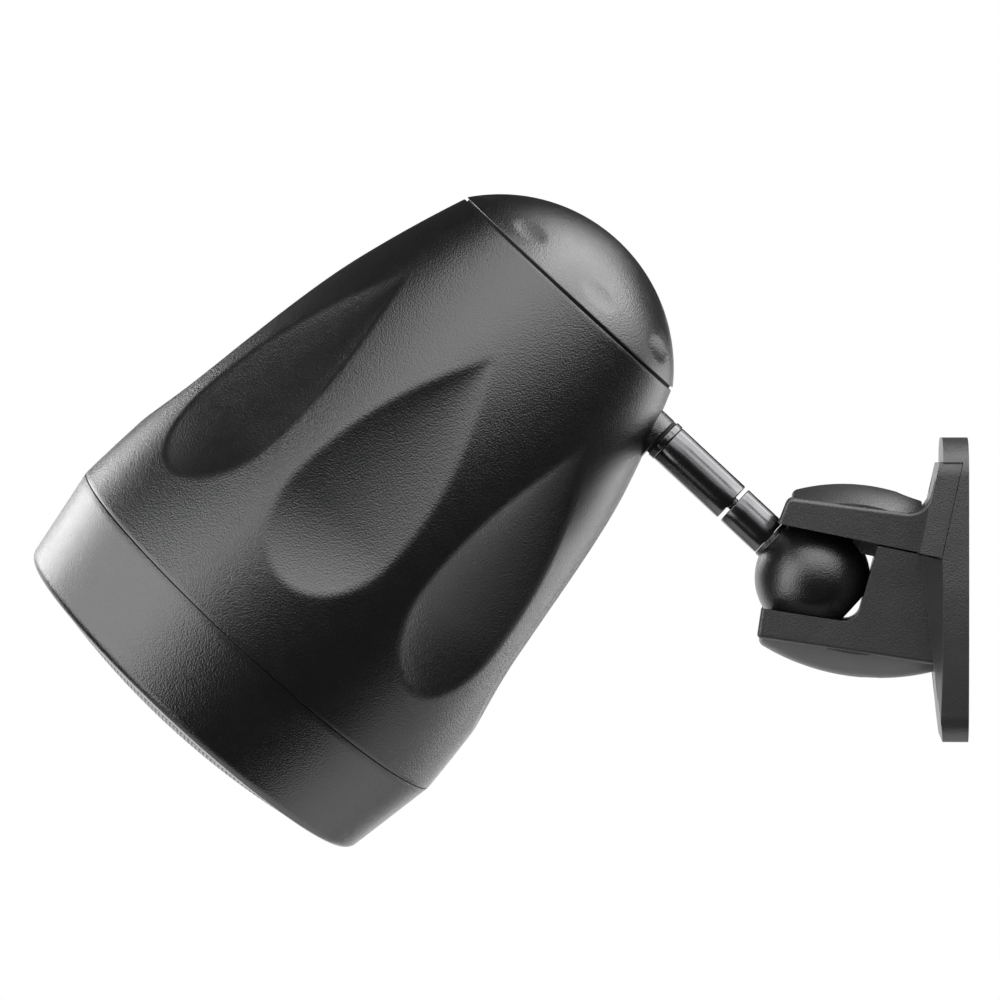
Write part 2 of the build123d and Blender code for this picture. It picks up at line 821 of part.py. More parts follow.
# Stem pieces on the speaker side
with BuildPart() as stem_gasket:
    with BuildSketch(stem.offset(pad_face)):
        Circle(stem_seal_r)
        Circle(rod_hole_r, mode=Mode.SUBTRACT)
    extrude(amount=stem_seal)
save(stem_gasket, "stem_gasket")

with BuildPart() as lock_collar:
    with BuildSketch(stem.offset(ring_start)):
        Circle(lock_ring_r)
        Circle(rod_hole_r, mode=Mode.SUBTRACT)
    extrude(amount=lock_ring)
    chamfer(edges().filter_by(GeomType.CIRCLE).group_by(SortBy.RADIUS)[-1], stem_edge)
save(lock_collar, "lock_ring")

with BuildPart() as stem_sleeve:
    with BuildSketch(stem.offset(sleeve_start)):
        Circle(stem_r)
        Circle(rod_hole_r, mode=Mode.SUBTRACT)
    extrude(amount=sleeve_end - sleeve_start)
    chamfer(edges().filter_by(GeomType.CIRCLE).group_by(SortBy.RADIUS)[-1], stem_edge)
save(stem_sleeve, "stem_sleeve")

with BuildPart() as stem_washer:
    with BuildSketch(stem.offset(washer_start)):
        Circle(washer_r)
        Circle(rod_hole_r, mode=Mode.SUBTRACT)
    extrude(amount=washer_thickness)
save(stem_washer, "stem_washer")

# Stem pieces on the ball side: hollow threaded rod, its nuts, gloss stud and ball
with BuildPart() as stem_rod:
    with BuildSketch(stem.offset(rod_inner_end)):
        Circle(rod_r)
        Circle(rod_bore_r, mode=Mode.SUBTRACT)
    extrude(amount=ball_nut_start + nut_thickness - rod_inner_end)
save(stem_rod, "stem_rod")

stem_nut = hex_nut(stem.offset(stem_nut_start), nut_across, nut_thickness, rod_hole_r)
save(stem_nut, "stem_nut")

with BuildPart() as stem_stud:
    with BuildSketch(stem.offset(stud_start)):
        Circle(stem_r)
        Circle(rod_hole_r, mode=Mode.SUBTRACT)
    extrude(amount=stud_length)
    chamfer(edges().filter_by(GeomType.CIRCLE).group_by(SortBy.RADIUS)[-1], stem_edge)
save(stem_stud, "stem_stud")

with BuildPart(stem) as ball:
    with Locations((0, 0, stem_length)):
        Sphere(ball_r)
    with BuildSketch(stem.offset(neck_start)):
        Circle(neck_r)
    extrude(amount=ball_r)
    with BuildSketch(stem.offset(flat_station)):
        Circle(ball_r)
    extrude(amount=ball_r, mode=Mode.SUBTRACT)
    with BuildSketch(stem.offset(neck_start)):
        Circle(rod_hole_r)
    extrude(amount=2 * ball_r, mode=Mode.SUBTRACT)
    with BuildSketch(stem.offset(ball_nut_start)):
        RegularPolygon(nut_across / 2 + seat_gap, 6, major_radius=False)
    extrude(amount=ball_r, mode=Mode.SUBTRACT)
save(ball, "ball")

ball_nut = hex_nut(stem.offset(ball_nut_start), nut_across, nut_thickness, rod_hole_r)
save(ball_nut, "ball_nut")

# Lines of the bracket's side view, as points and directions in X and Z
seat_dir = (-lean, -1)
seat_point = (-seat_top_depth, seat_top)
flange_back = (-seat_top_depth - seat_gap / cos(radians(seat_tilt)), seat_top)
flange_face = (flange_back[0] - clamp_flange / cos(radians(seat_tilt)), seat_top)
mouth_line = (mouth_dir.X, mouth_dir.Z)
base_rise = upper_jaw_rise - parting_gap
base_parting = ball_centre + clamp_dir * base_rise
base_line = (base_parting.X, base_parting.Z)
jaw_parting = ball_centre + clamp_dir * upper_jaw_rise
jaw_line = (jaw_parting.X, jaw_parting.Z)
deep = 2 * plate_half_width
stem_swing = radians(90 - speaker_pitch - socket_tilt)
mouth_start_r = (stem_r + mouth_gap) / cos(stem_swing)
mouth_end_r = mouth_start_r + 2 * lower_front * tan(stem_swing)
clamp_hole_r = clamp_screw_r + screw_gap
tongue_end = upper_jaw_rise - tongue_drop
tongue_length = tongue_front + tongue_rear
tongue_middle = (tongue_front - tongue_rear) / 2
flange_foot = crossing(flange_face, seat_dir, jaw_line, mouth_line)
flange_setback = (Vector(flange_foot[0], 0, flange_foot[1]) - ball_centre).dot(-mouth_dir)
arm_rear = plate_rim / 2 - ball_reach

# Bracket base: wall plate with its sloped seat and lip, web and lower jaw
with BuildPart() as lower_arm:
    with BuildSketch(lower_side):
        with BuildLine():
            Polyline(
                (-lower_jaw_drop, lower_front),
                (-lower_jaw_drop, -web_foot),
                (upper_jaw_rise, -web_head),
                (upper_jaw_rise, arm_rear),
                (-lower_jaw_drop - lower_height, arm_rear),
                (-lower_jaw_drop - lower_height, lower_front),
                close=True,
            )
        make_face()
        fillet(vertices().sort_by_distance((-lower_jaw_drop, -web_foot))[0], web_blend_r)
    extrude(amount=arm_half_width, both=True)
    keel = edges().filter_by(lambda e: (e.center() - ball_centre).dot(lower_up) < -lower_jaw_drop - arm_edge)
    fillet(keel.filter_by(lambda e: (e.center() - ball_centre).dot(lower_out) > 1 + arm_rear), arm_edge)
    with BuildSketch(socket_side):
        with Locations((base_rise, 0)):
            Rectangle(deep, 2 * deep, align=(Align.MIN, Align.CENTER))
    extrude(amount=deep, both=True, mode=Mode.SUBTRACT)

with BuildPart() as lower_dome:
    with BuildSketch(lower_side):
        with BuildLine():
            bowl = ThreePointArc(
                (-lower_dome_front_r, lower_dome_front),
                (-lower_dome_r, -lower_dome_middle),
                (-lower_dome_rear_r, -lower_dome_rear),
            )
            Polyline(bowl @ 0, (-lower_dome_axis, lower_dome_front), (-lower_dome_axis, -lower_dome_rear), bowl @ 1)
        make_face()
        fillet(vertices().sort_by_distance((-lower_dome_front_r, lower_dome_front))[0], dome_corner_r)
    revolve(axis=Axis(ball_centre - lower_up * lower_dome_axis, lower_out))
    with BuildSketch(lower_side):
        with Locations((-lower_dome_floor, 0)):
            Rectangle(deep, 2 * deep, align=(Align.MAX, Align.CENTER))
    extrude(amount=dome_half_width, both=True, mode=Mode.INTERSECT)

with BuildPart() as bracket_base:
    with BuildSketch(wall):
        add(shield(0))
    extrude(amount=plate_crown)
    with BuildSketch(Plane.XZ):
        with BuildLine():
            Polyline(
                (0, -plate_bottom),
                (0, plate_top),
                (-plate_rim, plate_top),
                (-plate_rim, seat_top),
                seat_point,
                crossing(seat_point, seat_dir, base_line, mouth_line),
                crossing((-plate_crown, 0), (0, 1), base_line, mouth_line),
                (-plate_rim, -plate_bottom),
                close=True,
            )
        make_face()
    extrude(amount=deep, both=True, mode=Mode.INTERSECT)
    with BuildSketch(Plane.XY):
        with BuildLine():
            Polyline(
                (0, -plate_half_width),
                (-plate_rim, -plate_half_width),
                (-plate_crown, -arm_half_width),
                (-plate_crown, arm_half_width),
                (-plate_rim, plate_half_width),
                (0, plate_half_width),
                close=True,
            )
        make_face()
    extrude(amount=deep, both=True, mode=Mode.INTERSECT)
    add(lower_arm.part)
    add(lower_dome.part)
    with Locations(ball_centre):
        Sphere(ball_r + ball_gap, mode=Mode.SUBTRACT)
    with BuildSketch(socket_side):
        with BuildLine():
            Polyline((0, 0), (mouth_start_r, 0), (mouth_end_r, 2 * lower_front), (0, 2 * lower_front), close=True)
        make_face()
    revolve(axis=socket_axis, mode=Mode.SUBTRACT)
    with BuildSketch(clamp_plane.offset(tongue_end - seat_gap)):
        with Locations((tongue_middle, 0)):
            Rectangle(tongue_length + 2 * tongue_front, 2 * tongue_half_width + 4 * seat_gap)
    extrude(amount=2 * tongue_drop, mode=Mode.SUBTRACT)
    with BuildSketch(clamp_plane):
        Circle(clamp_hole_r)
    extrude(amount=deep, both=True, mode=Mode.SUBTRACT)
    with BuildSketch(clamp_plane.offset(-clamp_nut_seat)):
        RegularPolygon(clamp_nut_across / 2 + seat_gap, 6, major_radius=False)
    extrude(amount=-deep, mode=Mode.SUBTRACT)
    with BuildSketch(wall):
        with GridLocations(wall_hole_pitch_y, wall_hole_pitch_z, 2, 2):
            Circle(wall_hole_r)
    extrude(amount=plate_crown, mode=Mode.SUBTRACT)
    with BuildSketch(wall.offset(wall_head_floor)):
        with GridLocations(wall_hole_pitch_y, wall_hole_pitch_z, 2, 2):
            Circle(wall_head_r)
    extrude(amount=plate_crown, mode=Mode.SUBTRACT)
save(bracket_base, "bracket_base")

# Clamp jaw: upper jaw with the flange that lies on the plate's seat, under its lip
with BuildPart() as upper_arm:
    with BuildSketch(socket_side):
        with BuildLine():
            Polyline(
                (upper_jaw_rise, upper_front),
                (upper_jaw_rise + upper_height, upper_front - upper_lean),
                (upper_jaw_rise + upper_rear_height, -flange_setback),
                (upper_jaw_rise + upper_rear_height + upper_blend_r, -flange_setback),
                (upper_jaw_rise + upper_rear_height + upper_blend_r, arm_rear),
                (upper_jaw_rise, arm_rear),
                close=True,
            )
        make_face()
        fillet(vertices().sort_by_distance((upper_jaw_rise + upper_rear_height, -flange_setback))[0], upper_blend_r)
        fillet(vertices().sort_by_distance((upper_jaw_rise + upper_height, upper_front))[0], upper_corner_r)
    extrude(amount=arm_half_width, both=True)
    back = edges().filter_by(lambda e: abs(e.center().Y) > arm_half_width - running_gap)
    back = back.filter_by(lambda e: (e.center() - ball_centre).dot(clamp_dir) > upper_jaw_rise + arm_edge)
    fillet(back.filter_by(lambda e: (e.center() - ball_centre).dot(mouth_dir) > -flange_setback - arm_edge), arm_edge)

with BuildPart() as upper_dome:
    with BuildSketch(ball_side):
        with BuildLine():
            crown = ThreePointArc(
                (-upper_dome_front, upper_dome_front_r),
                (upper_dome_middle, upper_dome_r),
                (upper_dome_rear, upper_dome_rear_r),
            )
            Polyline(crown @ 0, (-upper_dome_front, 0), (upper_dome_rear, 0), crown @ 1)
        make_face()
        fillet(vertices().sort_by_distance((-upper_dome_front, upper_dome_front_r))[0], dome_corner_r)
    revolve(axis=Axis(ball_centre, (1, 0, 0)))
    with BuildSketch(ball_side):
        with Locations((0, upper_dome_floor)):
            Rectangle(2 * deep, deep, align=(Align.CENTER, Align.MIN))
    extrude(amount=dome_half_width, both=True, mode=Mode.INTERSECT)

flange_top = seat_top - seat_gap
with BuildPart() as clamp_jaw:
    with BuildSketch(wall):
        add(shield(flange_inset))
    extrude(amount=deep)
    with BuildSketch(Plane.XZ):
        with BuildLine():
            Polyline(
                crossing(flange_back, seat_dir, (0, flange_top), (1, 0)),
                crossing(flange_back, seat_dir, jaw_line, mouth_line),
                crossing(flange_face, seat_dir, jaw_line, mouth_line),
                crossing(flange_face, seat_dir, (0, flange_top), (1, 0)),
                close=True,
            )
        make_face()
    extrude(amount=deep, both=True, mode=Mode.INTERSECT)
    add(upper_arm.part)
    add(upper_dome.part)
    with BuildSketch(clamp_plane.offset(tongue_end)):
        with Locations((tongue_middle, 0)):
            Rectangle(tongue_length, 2 * tongue_half_width)
    extrude(amount=2 * tongue_drop)
    with BuildSketch(Plane.XZ):
        with BuildLine():
            low = crossing(flange_back, seat_dir, (0, -plate_bottom), (1, 0))
            high = crossing(flange_back, seat_dir, (0, plate_top), (1, 0))
            Polyline(low, high, (deep, plate_top), (deep, -plate_bottom), close=True)
        make_face()
    extrude(amount=deep, both=True, mode=Mode.SUBTRACT)
    with Locations(ball_centre):
        Sphere(ball_r + ball_gap, mode=Mode.SUBTRACT)
    with BuildSketch(socket_side):
        with BuildLine():
            Polyline((0, 0), (mouth_start_r, 0), (mouth_end_r, 2 * lower_front), (0, 2 * lower_front), close=True)
        make_face()
    revolve(axis=socket_axis, mode=Mode.SUBTRACT)
    with BuildSketch(clamp_plane):
        Circle(clamp_hole_r)
    extrude(amount=deep, mode=Mode.SUBTRACT)
    with BuildSketch(clamp_plane.offset(clamp_head_seat)):
        Circle(clamp_head_r + seat_gap)
    extrude(amount=deep, mode=Mode.SUBTRACT)
    with BuildSketch(wall):
        with GridLocations(wall_hole_pitch_y, wall_hole_pitch_z, 2, 2):
            Circle(wall_hole_r)
    extrude(amount=deep, mode=Mode.SUBTRACT)
    with BuildSketch(wall.offset(wall_head_floor)):
        with GridLocations(wall_hole_pitch_y, wall_hole_pitch_z, 2, 2):
            Circle(wall_head_r)
    extrude(amount=deep, mode=Mode.SUBTRACT)
save(clamp_jaw, "clamp_jaw")

# Clamp screw and its captive nut
with BuildPart() as clamp_screw:
    with BuildSketch(clamp_plane.offset(clamp_head_seat)):
        Circle(clamp_head_r)
    extrude(amount=clamp_head)
    with BuildSketch(clamp_plane.offset(clamp_head_seat)):
        Circle(clamp_screw_r)
    extrude(amount=-(clamp_head_seat + clamp_nut_seat + clamp_nut))
    with BuildSketch(clamp_plane.offset(clamp_head_seat + clamp_head)):
        RegularPolygon(clamp_key / 2, 6, major_radius=False)
    extrude(amount=-clamp_head / 2, mode=Mode.SUBTRACT)
save(clamp_screw, "clamp_screw")

nut_plane = clamp_plane.offset(-clamp_nut_seat - clamp_nut)
captive_nut = hex_nut(nut_plane, clamp_nut_across, clamp_nut, clamp_screw_r + running_gap)
save(captive_nut, "clamp_nut")
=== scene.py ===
"""Outdoor patio speaker on its ball-jointed wall bracket, dressed for a plain studio picture."""

from __future__ import annotations

import json
import logging
import math
from dataclasses import dataclass, field
from enum import Enum
from typing import Callable, Sequence

import bmesh
import bpy
from mathutils import Matrix, Vector

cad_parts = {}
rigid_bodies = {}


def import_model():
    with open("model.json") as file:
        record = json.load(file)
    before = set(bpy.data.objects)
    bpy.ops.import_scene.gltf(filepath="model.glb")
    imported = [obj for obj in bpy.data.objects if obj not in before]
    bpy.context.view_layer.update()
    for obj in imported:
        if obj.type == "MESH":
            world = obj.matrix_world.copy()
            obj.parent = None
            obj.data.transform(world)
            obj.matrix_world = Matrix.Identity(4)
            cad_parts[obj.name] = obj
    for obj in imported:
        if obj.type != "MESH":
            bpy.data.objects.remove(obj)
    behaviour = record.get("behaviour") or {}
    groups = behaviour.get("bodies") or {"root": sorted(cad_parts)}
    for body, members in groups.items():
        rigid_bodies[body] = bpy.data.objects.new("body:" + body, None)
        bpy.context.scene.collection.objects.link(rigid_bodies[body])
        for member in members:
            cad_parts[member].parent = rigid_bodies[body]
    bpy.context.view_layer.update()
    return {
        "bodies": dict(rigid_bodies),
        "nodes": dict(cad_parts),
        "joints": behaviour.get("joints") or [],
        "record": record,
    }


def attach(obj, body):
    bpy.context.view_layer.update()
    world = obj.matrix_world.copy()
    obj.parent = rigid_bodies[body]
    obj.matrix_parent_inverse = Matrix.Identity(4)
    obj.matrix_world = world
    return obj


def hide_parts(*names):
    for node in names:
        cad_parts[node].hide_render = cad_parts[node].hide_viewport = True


log = logging.getLogger("patio_speaker")
MM = 0.001
WHITE = (1.0, 1.0, 1.0, 1.0)
Outline = Sequence[tuple[float, float]]
Point = tuple[float, float, float]
Tint = tuple[float, float, float]
Socket = bpy.types.NodeSocket


class Body(Enum):
    """Bodies of the part that the new pieces ride on."""

    BRACKET = "bracket"
    BALL_STUD = "ball_stud"
    SPEAKER = "speaker"


class Grain(Enum):
    """How the surface of a moulding is broken up."""

    PEBBLE = "pebble"
    FINE = "fine"
    SMOOTH = "smooth"


def spread(start: float, end: float, count: int, with_end: bool = True) -> list[float]:
    """Values from start to end in equal steps, with or without the end itself."""
    return [start + (end - start) * i / count for i in range(count + int(with_end))]


@dataclass(frozen=True)
class Placement:
    """Where the speaker and the stem stand in the row frame, in millimetres and degrees."""

    pitch: float = 47.1
    ball: Point = (-60.9, 0.0, 4.0)
    stem_length: float = 148.2
    stem_setback: float = 16.8

    @property
    def rear(self) -> Vector:
        """Direction along the speaker axis, front to rear."""
        a = math.radians(self.pitch)
        return Vector((math.cos(a), 0.0, math.sin(a)))

    @property
    def down_stem(self) -> Vector:
        """Direction along the stem, from the speaker to the ball."""
        a = math.radians(self.pitch)
        return Vector((math.sin(a), 0.0, -math.cos(a)))

    @property
    def foot(self) -> Vector:
        """Point on the speaker's axis where the stem's line starts."""
        return Vector(self.ball) - self.down_stem * self.stem_length

    def speaker(self) -> Matrix:
        """Matrix from the speaker's own millimetres to the row frame, Z to the rear, X to the stem."""
        return self._frame(self.foot + self.rear * self.stem_setback, self.down_stem, self.rear)

    def stem(self) -> Matrix:
        """Matrix from the stem's own millimetres to the row frame, Z towards the ball."""
        return self._frame(self.foot, self.rear, self.down_stem)

    @staticmethod
    def _frame(origin: Vector, x: Vector, z: Vector) -> Matrix:
        """Matrix of a right-handed frame given in millimetres.

        Args:
            origin: Origin of the frame.
            x: Its X direction.
            z: Its Z direction.

        Returns:
            The matrix, which also turns millimetres into metres.
        """
        y = z.cross(x)
        turn = Matrix((x, y, z)).transposed().to_4x4()
        return Matrix.Scale(MM, 4) @ Matrix.Translation(origin) @ turn


class NodeTree:
    """Small helper that lays out a material's nodes."""

    LOW_STOP = 0.3
    HIGH_STOP = 0.7

    def __init__(self, name: str) -> None:
        """Start an empty material with an output and a surface shader.

        Args:
            name: Name of the material.
        """
        self.material = bpy.data.materials.new(name)
        self.material.use_nodes = True
        self.nodes = self.material.node_tree.nodes
        self.links = self.material.node_tree.links
        self.nodes.clear()
        self.output = self.nodes.new("ShaderNodeOutputMaterial")
        self.shader = self.nodes.new("ShaderNodeBsdfPrincipled")
        self.links.new(self.shader.outputs["BSDF"], self.output.inputs["Surface"])
        self.place = self.nodes.new("ShaderNodeTexCoord").outputs["Object"]

    def noise(self, size_mm: float, detail: float = 3.0, rough: float = 0.55) -> Socket:
        """Cloudy pattern with features of a given size.

        Args:
            size_mm: Size of the features.
            detail: Octaves of the pattern.
            rough: How strong the finer octaves are.

        Returns:
            The pattern's value.
        """
        node = self.nodes.new("ShaderNodeTexNoise")
        node.inputs["Scale"].default_value = 1.0 / MM / size_mm
        node.inputs["Detail"].default_value = detail
        node.inputs["Roughness"].default_value = rough
        self.links.new(self.place, node.inputs["Vector"])
        return node.outputs["Fac"]

    def pebbles(self, size_mm: float, soft: float = 0.6) -> Socket:
        """Rounded pebbles of a given size.

        Args:
            size_mm: Size of one pebble.
            soft: How far pebbles melt into each other.

        Returns:
            Distance from the nearest pebble's middle.
        """
        node = self.nodes.new("ShaderNodeTexVoronoi")
        node.feature = "SMOOTH_F1"
        node.inputs["Scale"].default_value = 1.0 / MM / size_mm
        node.inputs["Smoothness"].default_value = soft
        node.inputs["Randomness"].default_value = 1.0
        self.links.new(self.place, node.inputs["Vector"])
        return node.outputs["Distance"]

    def span(self, value: Socket, low: float, high: float, start: float = LOW_STOP,
             end: float = HIGH_STOP) -> Socket:
        """Stretch a pattern to a range.

        Args:
            value: The pattern.
            low: Result at start.
            high: Result at end.
            start: Pattern value that gives low.
            end: Pattern value that gives high.

        Returns:
            The stretched value.
        """
        node = self.nodes.new("ShaderNodeMapRange")
        node.inputs["From Min"].default_value = start
        node.inputs["From Max"].default_value = end
        node.inputs["To Min"].default_value = low
        node.inputs["To Max"].default_value = high
        self.links.new(value, node.inputs["Value"])
        return node.outputs["Result"]

    def shade(self, value: Socket, tint: Tint, dark: float, light: float = 1.0) -> Socket:
        """Tint that a pattern makes darker and lighter.

        Args:
            value: The pattern, 0 to 1.
            tint: The plain colour.
            dark: Share of the tint at the low stop.
            light: Share of the tint at the high stop.

        Returns:
            The colour.
        """
        node = self.nodes.new("ShaderNodeValToRGB")
        low, high = node.color_ramp.elements
        low.position, high.position = self.LOW_STOP, self.HIGH_STOP
        low.color = (*(c * dark for c in tint), 1.0)
        high.color = (*(c * light for c in tint), 1.0)
        self.links.new(value, node.inputs["Fac"])
        return node.outputs["Color"]

    def relief(self, height: Socket, depth_mm: float, strength: float, under: Socket | None = None) -> Socket:
        """Surface relief from a pattern.

        Args:
            height: The pattern.
            depth_mm: Height of the relief.
            strength: How strongly it turns the normal.
            under: Relief that this one lies on.

        Returns:
            The turned normal.
        """
        node = self.nodes.new("ShaderNodeBump")
        node.inputs["Distance"].default_value = depth_mm * MM
        node.inputs["Strength"].default_value = strength
        self.links.new(height, node.inputs["Height"])
        if under is not None:
            self.links.new(under, node.inputs["Normal"])
        return node.outputs["Normal"]

    def wear(self, value: Socket, roughness: float, smoother: float, rougher: float) -> None:
        """Let a pattern vary the shader's roughness."""
        self.feed("Roughness", self.span(value, roughness - smoother, roughness + rougher))

    def feed(self, socket: str, value: Socket) -> None:
        """Link a value to one of the shader's sockets."""
        self.links.new(value, self.shader.inputs[socket])

    def set(self, socket: str, value: float) -> None:
        """Set one of the shader's sockets to a number."""
        self.shader.inputs[socket].default_value = value


@dataclass(frozen=True)
class MouldedPlastic:
    """Moulded plastic with a grained skin, faint clouds in its colour and slight scuffing."""

    name: str
    tint: Tint
    grain: Grain
    roughness: float = 0.45
    grain_mm: float = 1.2
    relief_mm: float = 0.12
    strength: float = 0.5
    gloss: float = 0.5
    index: float = 1.6
    cloud_mm: float = 24.0
    cloud_dark: float = 0.8
    cloud_light: float = 1.2
    scuff_mm: float = 7.0
    scuff_smoother: float = 0.015
    scuff_rougher: float = 0.02
    pebble_edge: float = 0.7
    crumple: float = 1.3

    def make(self) -> bpy.types.Material:
        """Build the material.

        Returns:
            The material.
        """
        tree = NodeTree(self.name)
        cloud = tree.noise(self.cloud_mm, detail=4.0)
        tree.feed("Base Color", tree.shade(cloud, self.tint, self.cloud_dark, self.cloud_light))
        scuff = tree.noise(self.scuff_mm, detail=5.0, rough=0.6)
        tree.wear(scuff, self.roughness, self.scuff_smoother, self.scuff_rougher)
        tree.set("IOR", self.index)
        tree.set("Specular IOR Level", self.gloss)
        if self.grain is Grain.PEBBLE:
            stones = tree.span(tree.pebbles(self.grain_mm), 1.0, 0.0, 0.0, self.pebble_edge)
            coarse = tree.relief(stones, self.relief_mm, self.strength)
            folds = tree.noise(self.grain_mm * self.crumple, detail=2.0)
            tree.feed("Normal", tree.relief(folds, self.relief_mm, self.strength, coarse))
        elif self.grain is Grain.FINE:
            fine = tree.noise(self.grain_mm, detail=4.0)
            tree.feed("Normal", tree.relief(fine, self.relief_mm, self.strength))
        return tree.material


@dataclass(frozen=True)
class GlossPlate:
    """Smooth dark plating on steel."""

    name: str
    tint: Tint
    roughness: float = 0.14
    cloud_mm: float = 9.0
    cloud_dark: float = 0.85
    haze_mm: float = 4.0
    haze_smoother: float = 0.015
    haze_rougher: float = 0.02
    ripple_mm: float = 2.2
    ripple_depth_mm: float = 0.02
    ripple_strength: float = 0.05

    def make(self) -> bpy.types.Material:
        """Build the material.

        Returns:
            The material.
        """
        tree = NodeTree(self.name)
        tree.set("Metallic", 1.0)
        tree.feed("Base Color", tree.shade(tree.noise(self.cloud_mm), self.tint, self.cloud_dark))
        haze = tree.noise(self.haze_mm, detail=4.0)
        tree.wear(haze, self.roughness, self.haze_smoother, self.haze_rougher)
        ripple = tree.noise(self.ripple_mm, detail=2.0)
        tree.feed("Normal", tree.relief(ripple, self.ripple_depth_mm, self.ripple_strength))
        return tree.material


@dataclass(frozen=True)
class BareMetal:
    """Plated or wound metal with fine marks, mottled coarsely and scratched finely."""

    name: str
    tint: Tint
    roughness: float = 0.35
    mark_mm: float = 1.5
    mark_smoother: float = 0.08
    mark_rougher: float = 0.1
    mottle: float = 4.0
    mottle_dark: float = 0.75
    scratch: float = 0.5
    scratch_depth_mm: float = 0.02
    scratch_strength: float = 0.2

    def make(self) -> bpy.types.Material:
        """Build the material.

        Returns:
            The material.
        """
        tree = NodeTree(self.name)
        tree.set("Metallic", 1.0)
        mottled = tree.noise(self.mark_mm * self.mottle, detail=5.0)
        tree.feed("Base Color", tree.shade(mottled, self.tint, self.mottle_dark))
        marks = tree.noise(self.mark_mm, detail=3.0)
        tree.wear(marks, self.roughness, self.mark_smoother, self.mark_rougher)
        scratches = tree.noise(self.mark_mm * self.scratch, detail=2.0)
        tree.feed("Normal", tree.relief(scratches, self.scratch_depth_mm, self.scratch_strength))
        return tree.material


@dataclass(frozen=True)
class SoftSkin:
    """Matte rubber, cloth, pulp or ceramic with a dull broken skin."""

    name: str
    tint: Tint
    roughness: float = 0.75
    fleck_mm: float = 1.0
    patch: float = 3.0
    patch_dark: float = 0.7
    patch_light: float = 1.15
    patch_wear: float = 0.08
    nap_depth_mm: float = 0.06
    nap_strength: float = 0.35

    def make(self) -> bpy.types.Material:
        """Build the material.

        Returns:
            The material.
        """
        tree = NodeTree(self.name)
        patches = tree.noise(self.fleck_mm * self.patch, detail=5.0, rough=0.65)
        tree.feed("Base Color", tree.shade(patches, self.tint, self.patch_dark, self.patch_light))
        tree.wear(patches, self.roughness, self.patch_wear, self.patch_wear)
        nap = tree.noise(self.fleck_mm, detail=3.0)
        tree.feed("Normal", tree.relief(nap, self.nap_depth_mm, self.nap_strength))
        return tree.material


class Shop:
    """Modelling steps shared by the sub-assemblies."""

    @staticmethod
    def turn(outline: Outline, steps: int) -> bmesh.types.BMesh:
        """Spin a closed outline of radius and station round the Z axis.

        Args:
            outline: Points as radius and station.
            steps: Steps round the axis.

        Returns:
            The turned shape.
        """
        bm = bmesh.new()
        verts = [bm.verts.new((radius, 0.0, station)) for radius, station in outline]
        edges = [bm.edges.new(pair) for pair in zip(verts, verts[1:] + verts[:1])]
        bmesh.ops.spin(bm, geom=verts + edges, cent=(0, 0, 0), axis=(0, 0, 1), angle=math.tau,
                       steps=steps, use_merge=True)
        bmesh.ops.remove_doubles(bm, verts=bm.verts[:], dist=1e-4)
        bmesh.ops.recalc_face_normals(bm, faces=bm.faces[:])
        return bm

    @staticmethod
    def soften(bm: bmesh.types.BMesh, width: float, segments: int, angle: float,
               keep: Callable[[bmesh.types.BMEdge], bool] | None = None) -> None:
        """Round the sharp edges of a shape.

        Args:
            bm: The shape.
            width: Width of the rounding.
            segments: Faces across the rounding.
            angle: Smallest angle between faces that is rounded, in degrees.
            keep: Test that an edge has to pass, if any.
        """
        limit = math.radians(angle)
        sharp = [e for e in bm.edges if e.is_manifold and e.calc_face_angle(0.0) > limit]
        if keep is not None:
            sharp = [e for e in sharp if keep(e)]
        bmesh.ops.bevel(bm, geom=sharp, offset=width, offset_type="OFFSET", segments=segments, profile=0.5,
                        affect="EDGES", clamp_overlap=True, material=-1)

    @staticmethod
    def piece(bm: bmesh.types.BMesh, name: str, place: Matrix, finish: bpy.types.Material,
              angle: float = 35.0) -> bpy.types.Object:
        """Turn a shape into a finished object at the origin.

        Args:
            bm: The shape, which is used up.
            name: Name of the piece.
            place: Matrix that puts it in the row frame.
            finish: Its material.
            angle: Largest angle that is shaded smooth, in degrees.

        Returns:
            The object.
        """
        bmesh.ops.transform(bm, matrix=place, verts=bm.verts[:])
        mesh = bpy.data.meshes.new(name)
        bm.to_mesh(mesh)
        bm.free()
        mesh.polygons.foreach_set("use_smooth", [True] * len(mesh.polygons))
        mesh.set_sharp_from_angle(angle=math.radians(angle))
        mesh.materials.append(finish)
        made = Shop.add(name, mesh)
        log.info("%s: %d faces", name, len(mesh.polygons))
        return made

    @staticmethod
    def add(name: str, data: bpy.types.ID) -> bpy.types.Object:
        """Add an object to the scene.

        Args:
            name: Name of the object.
            data: Its mesh, lamp or camera.

        Returns:
            The object.
        """
        made = bpy.data.objects.new(name, data)
        bpy.context.scene.collection.objects.link(made)
        return made


def smooth_over(depth: float, width: float) -> float:
    """Depth of a cut with a soft edge.

    Args:
        depth: Depth of the sharp cut, negative outside it.
        width: Depth over which the edge is rounded.

    Returns:
        The softened depth, never negative.
    """
    if depth <= -width:
        return 0.0
    if depth >= width:
        return depth
    return (depth + width) ** 2 / (4.0 * width)


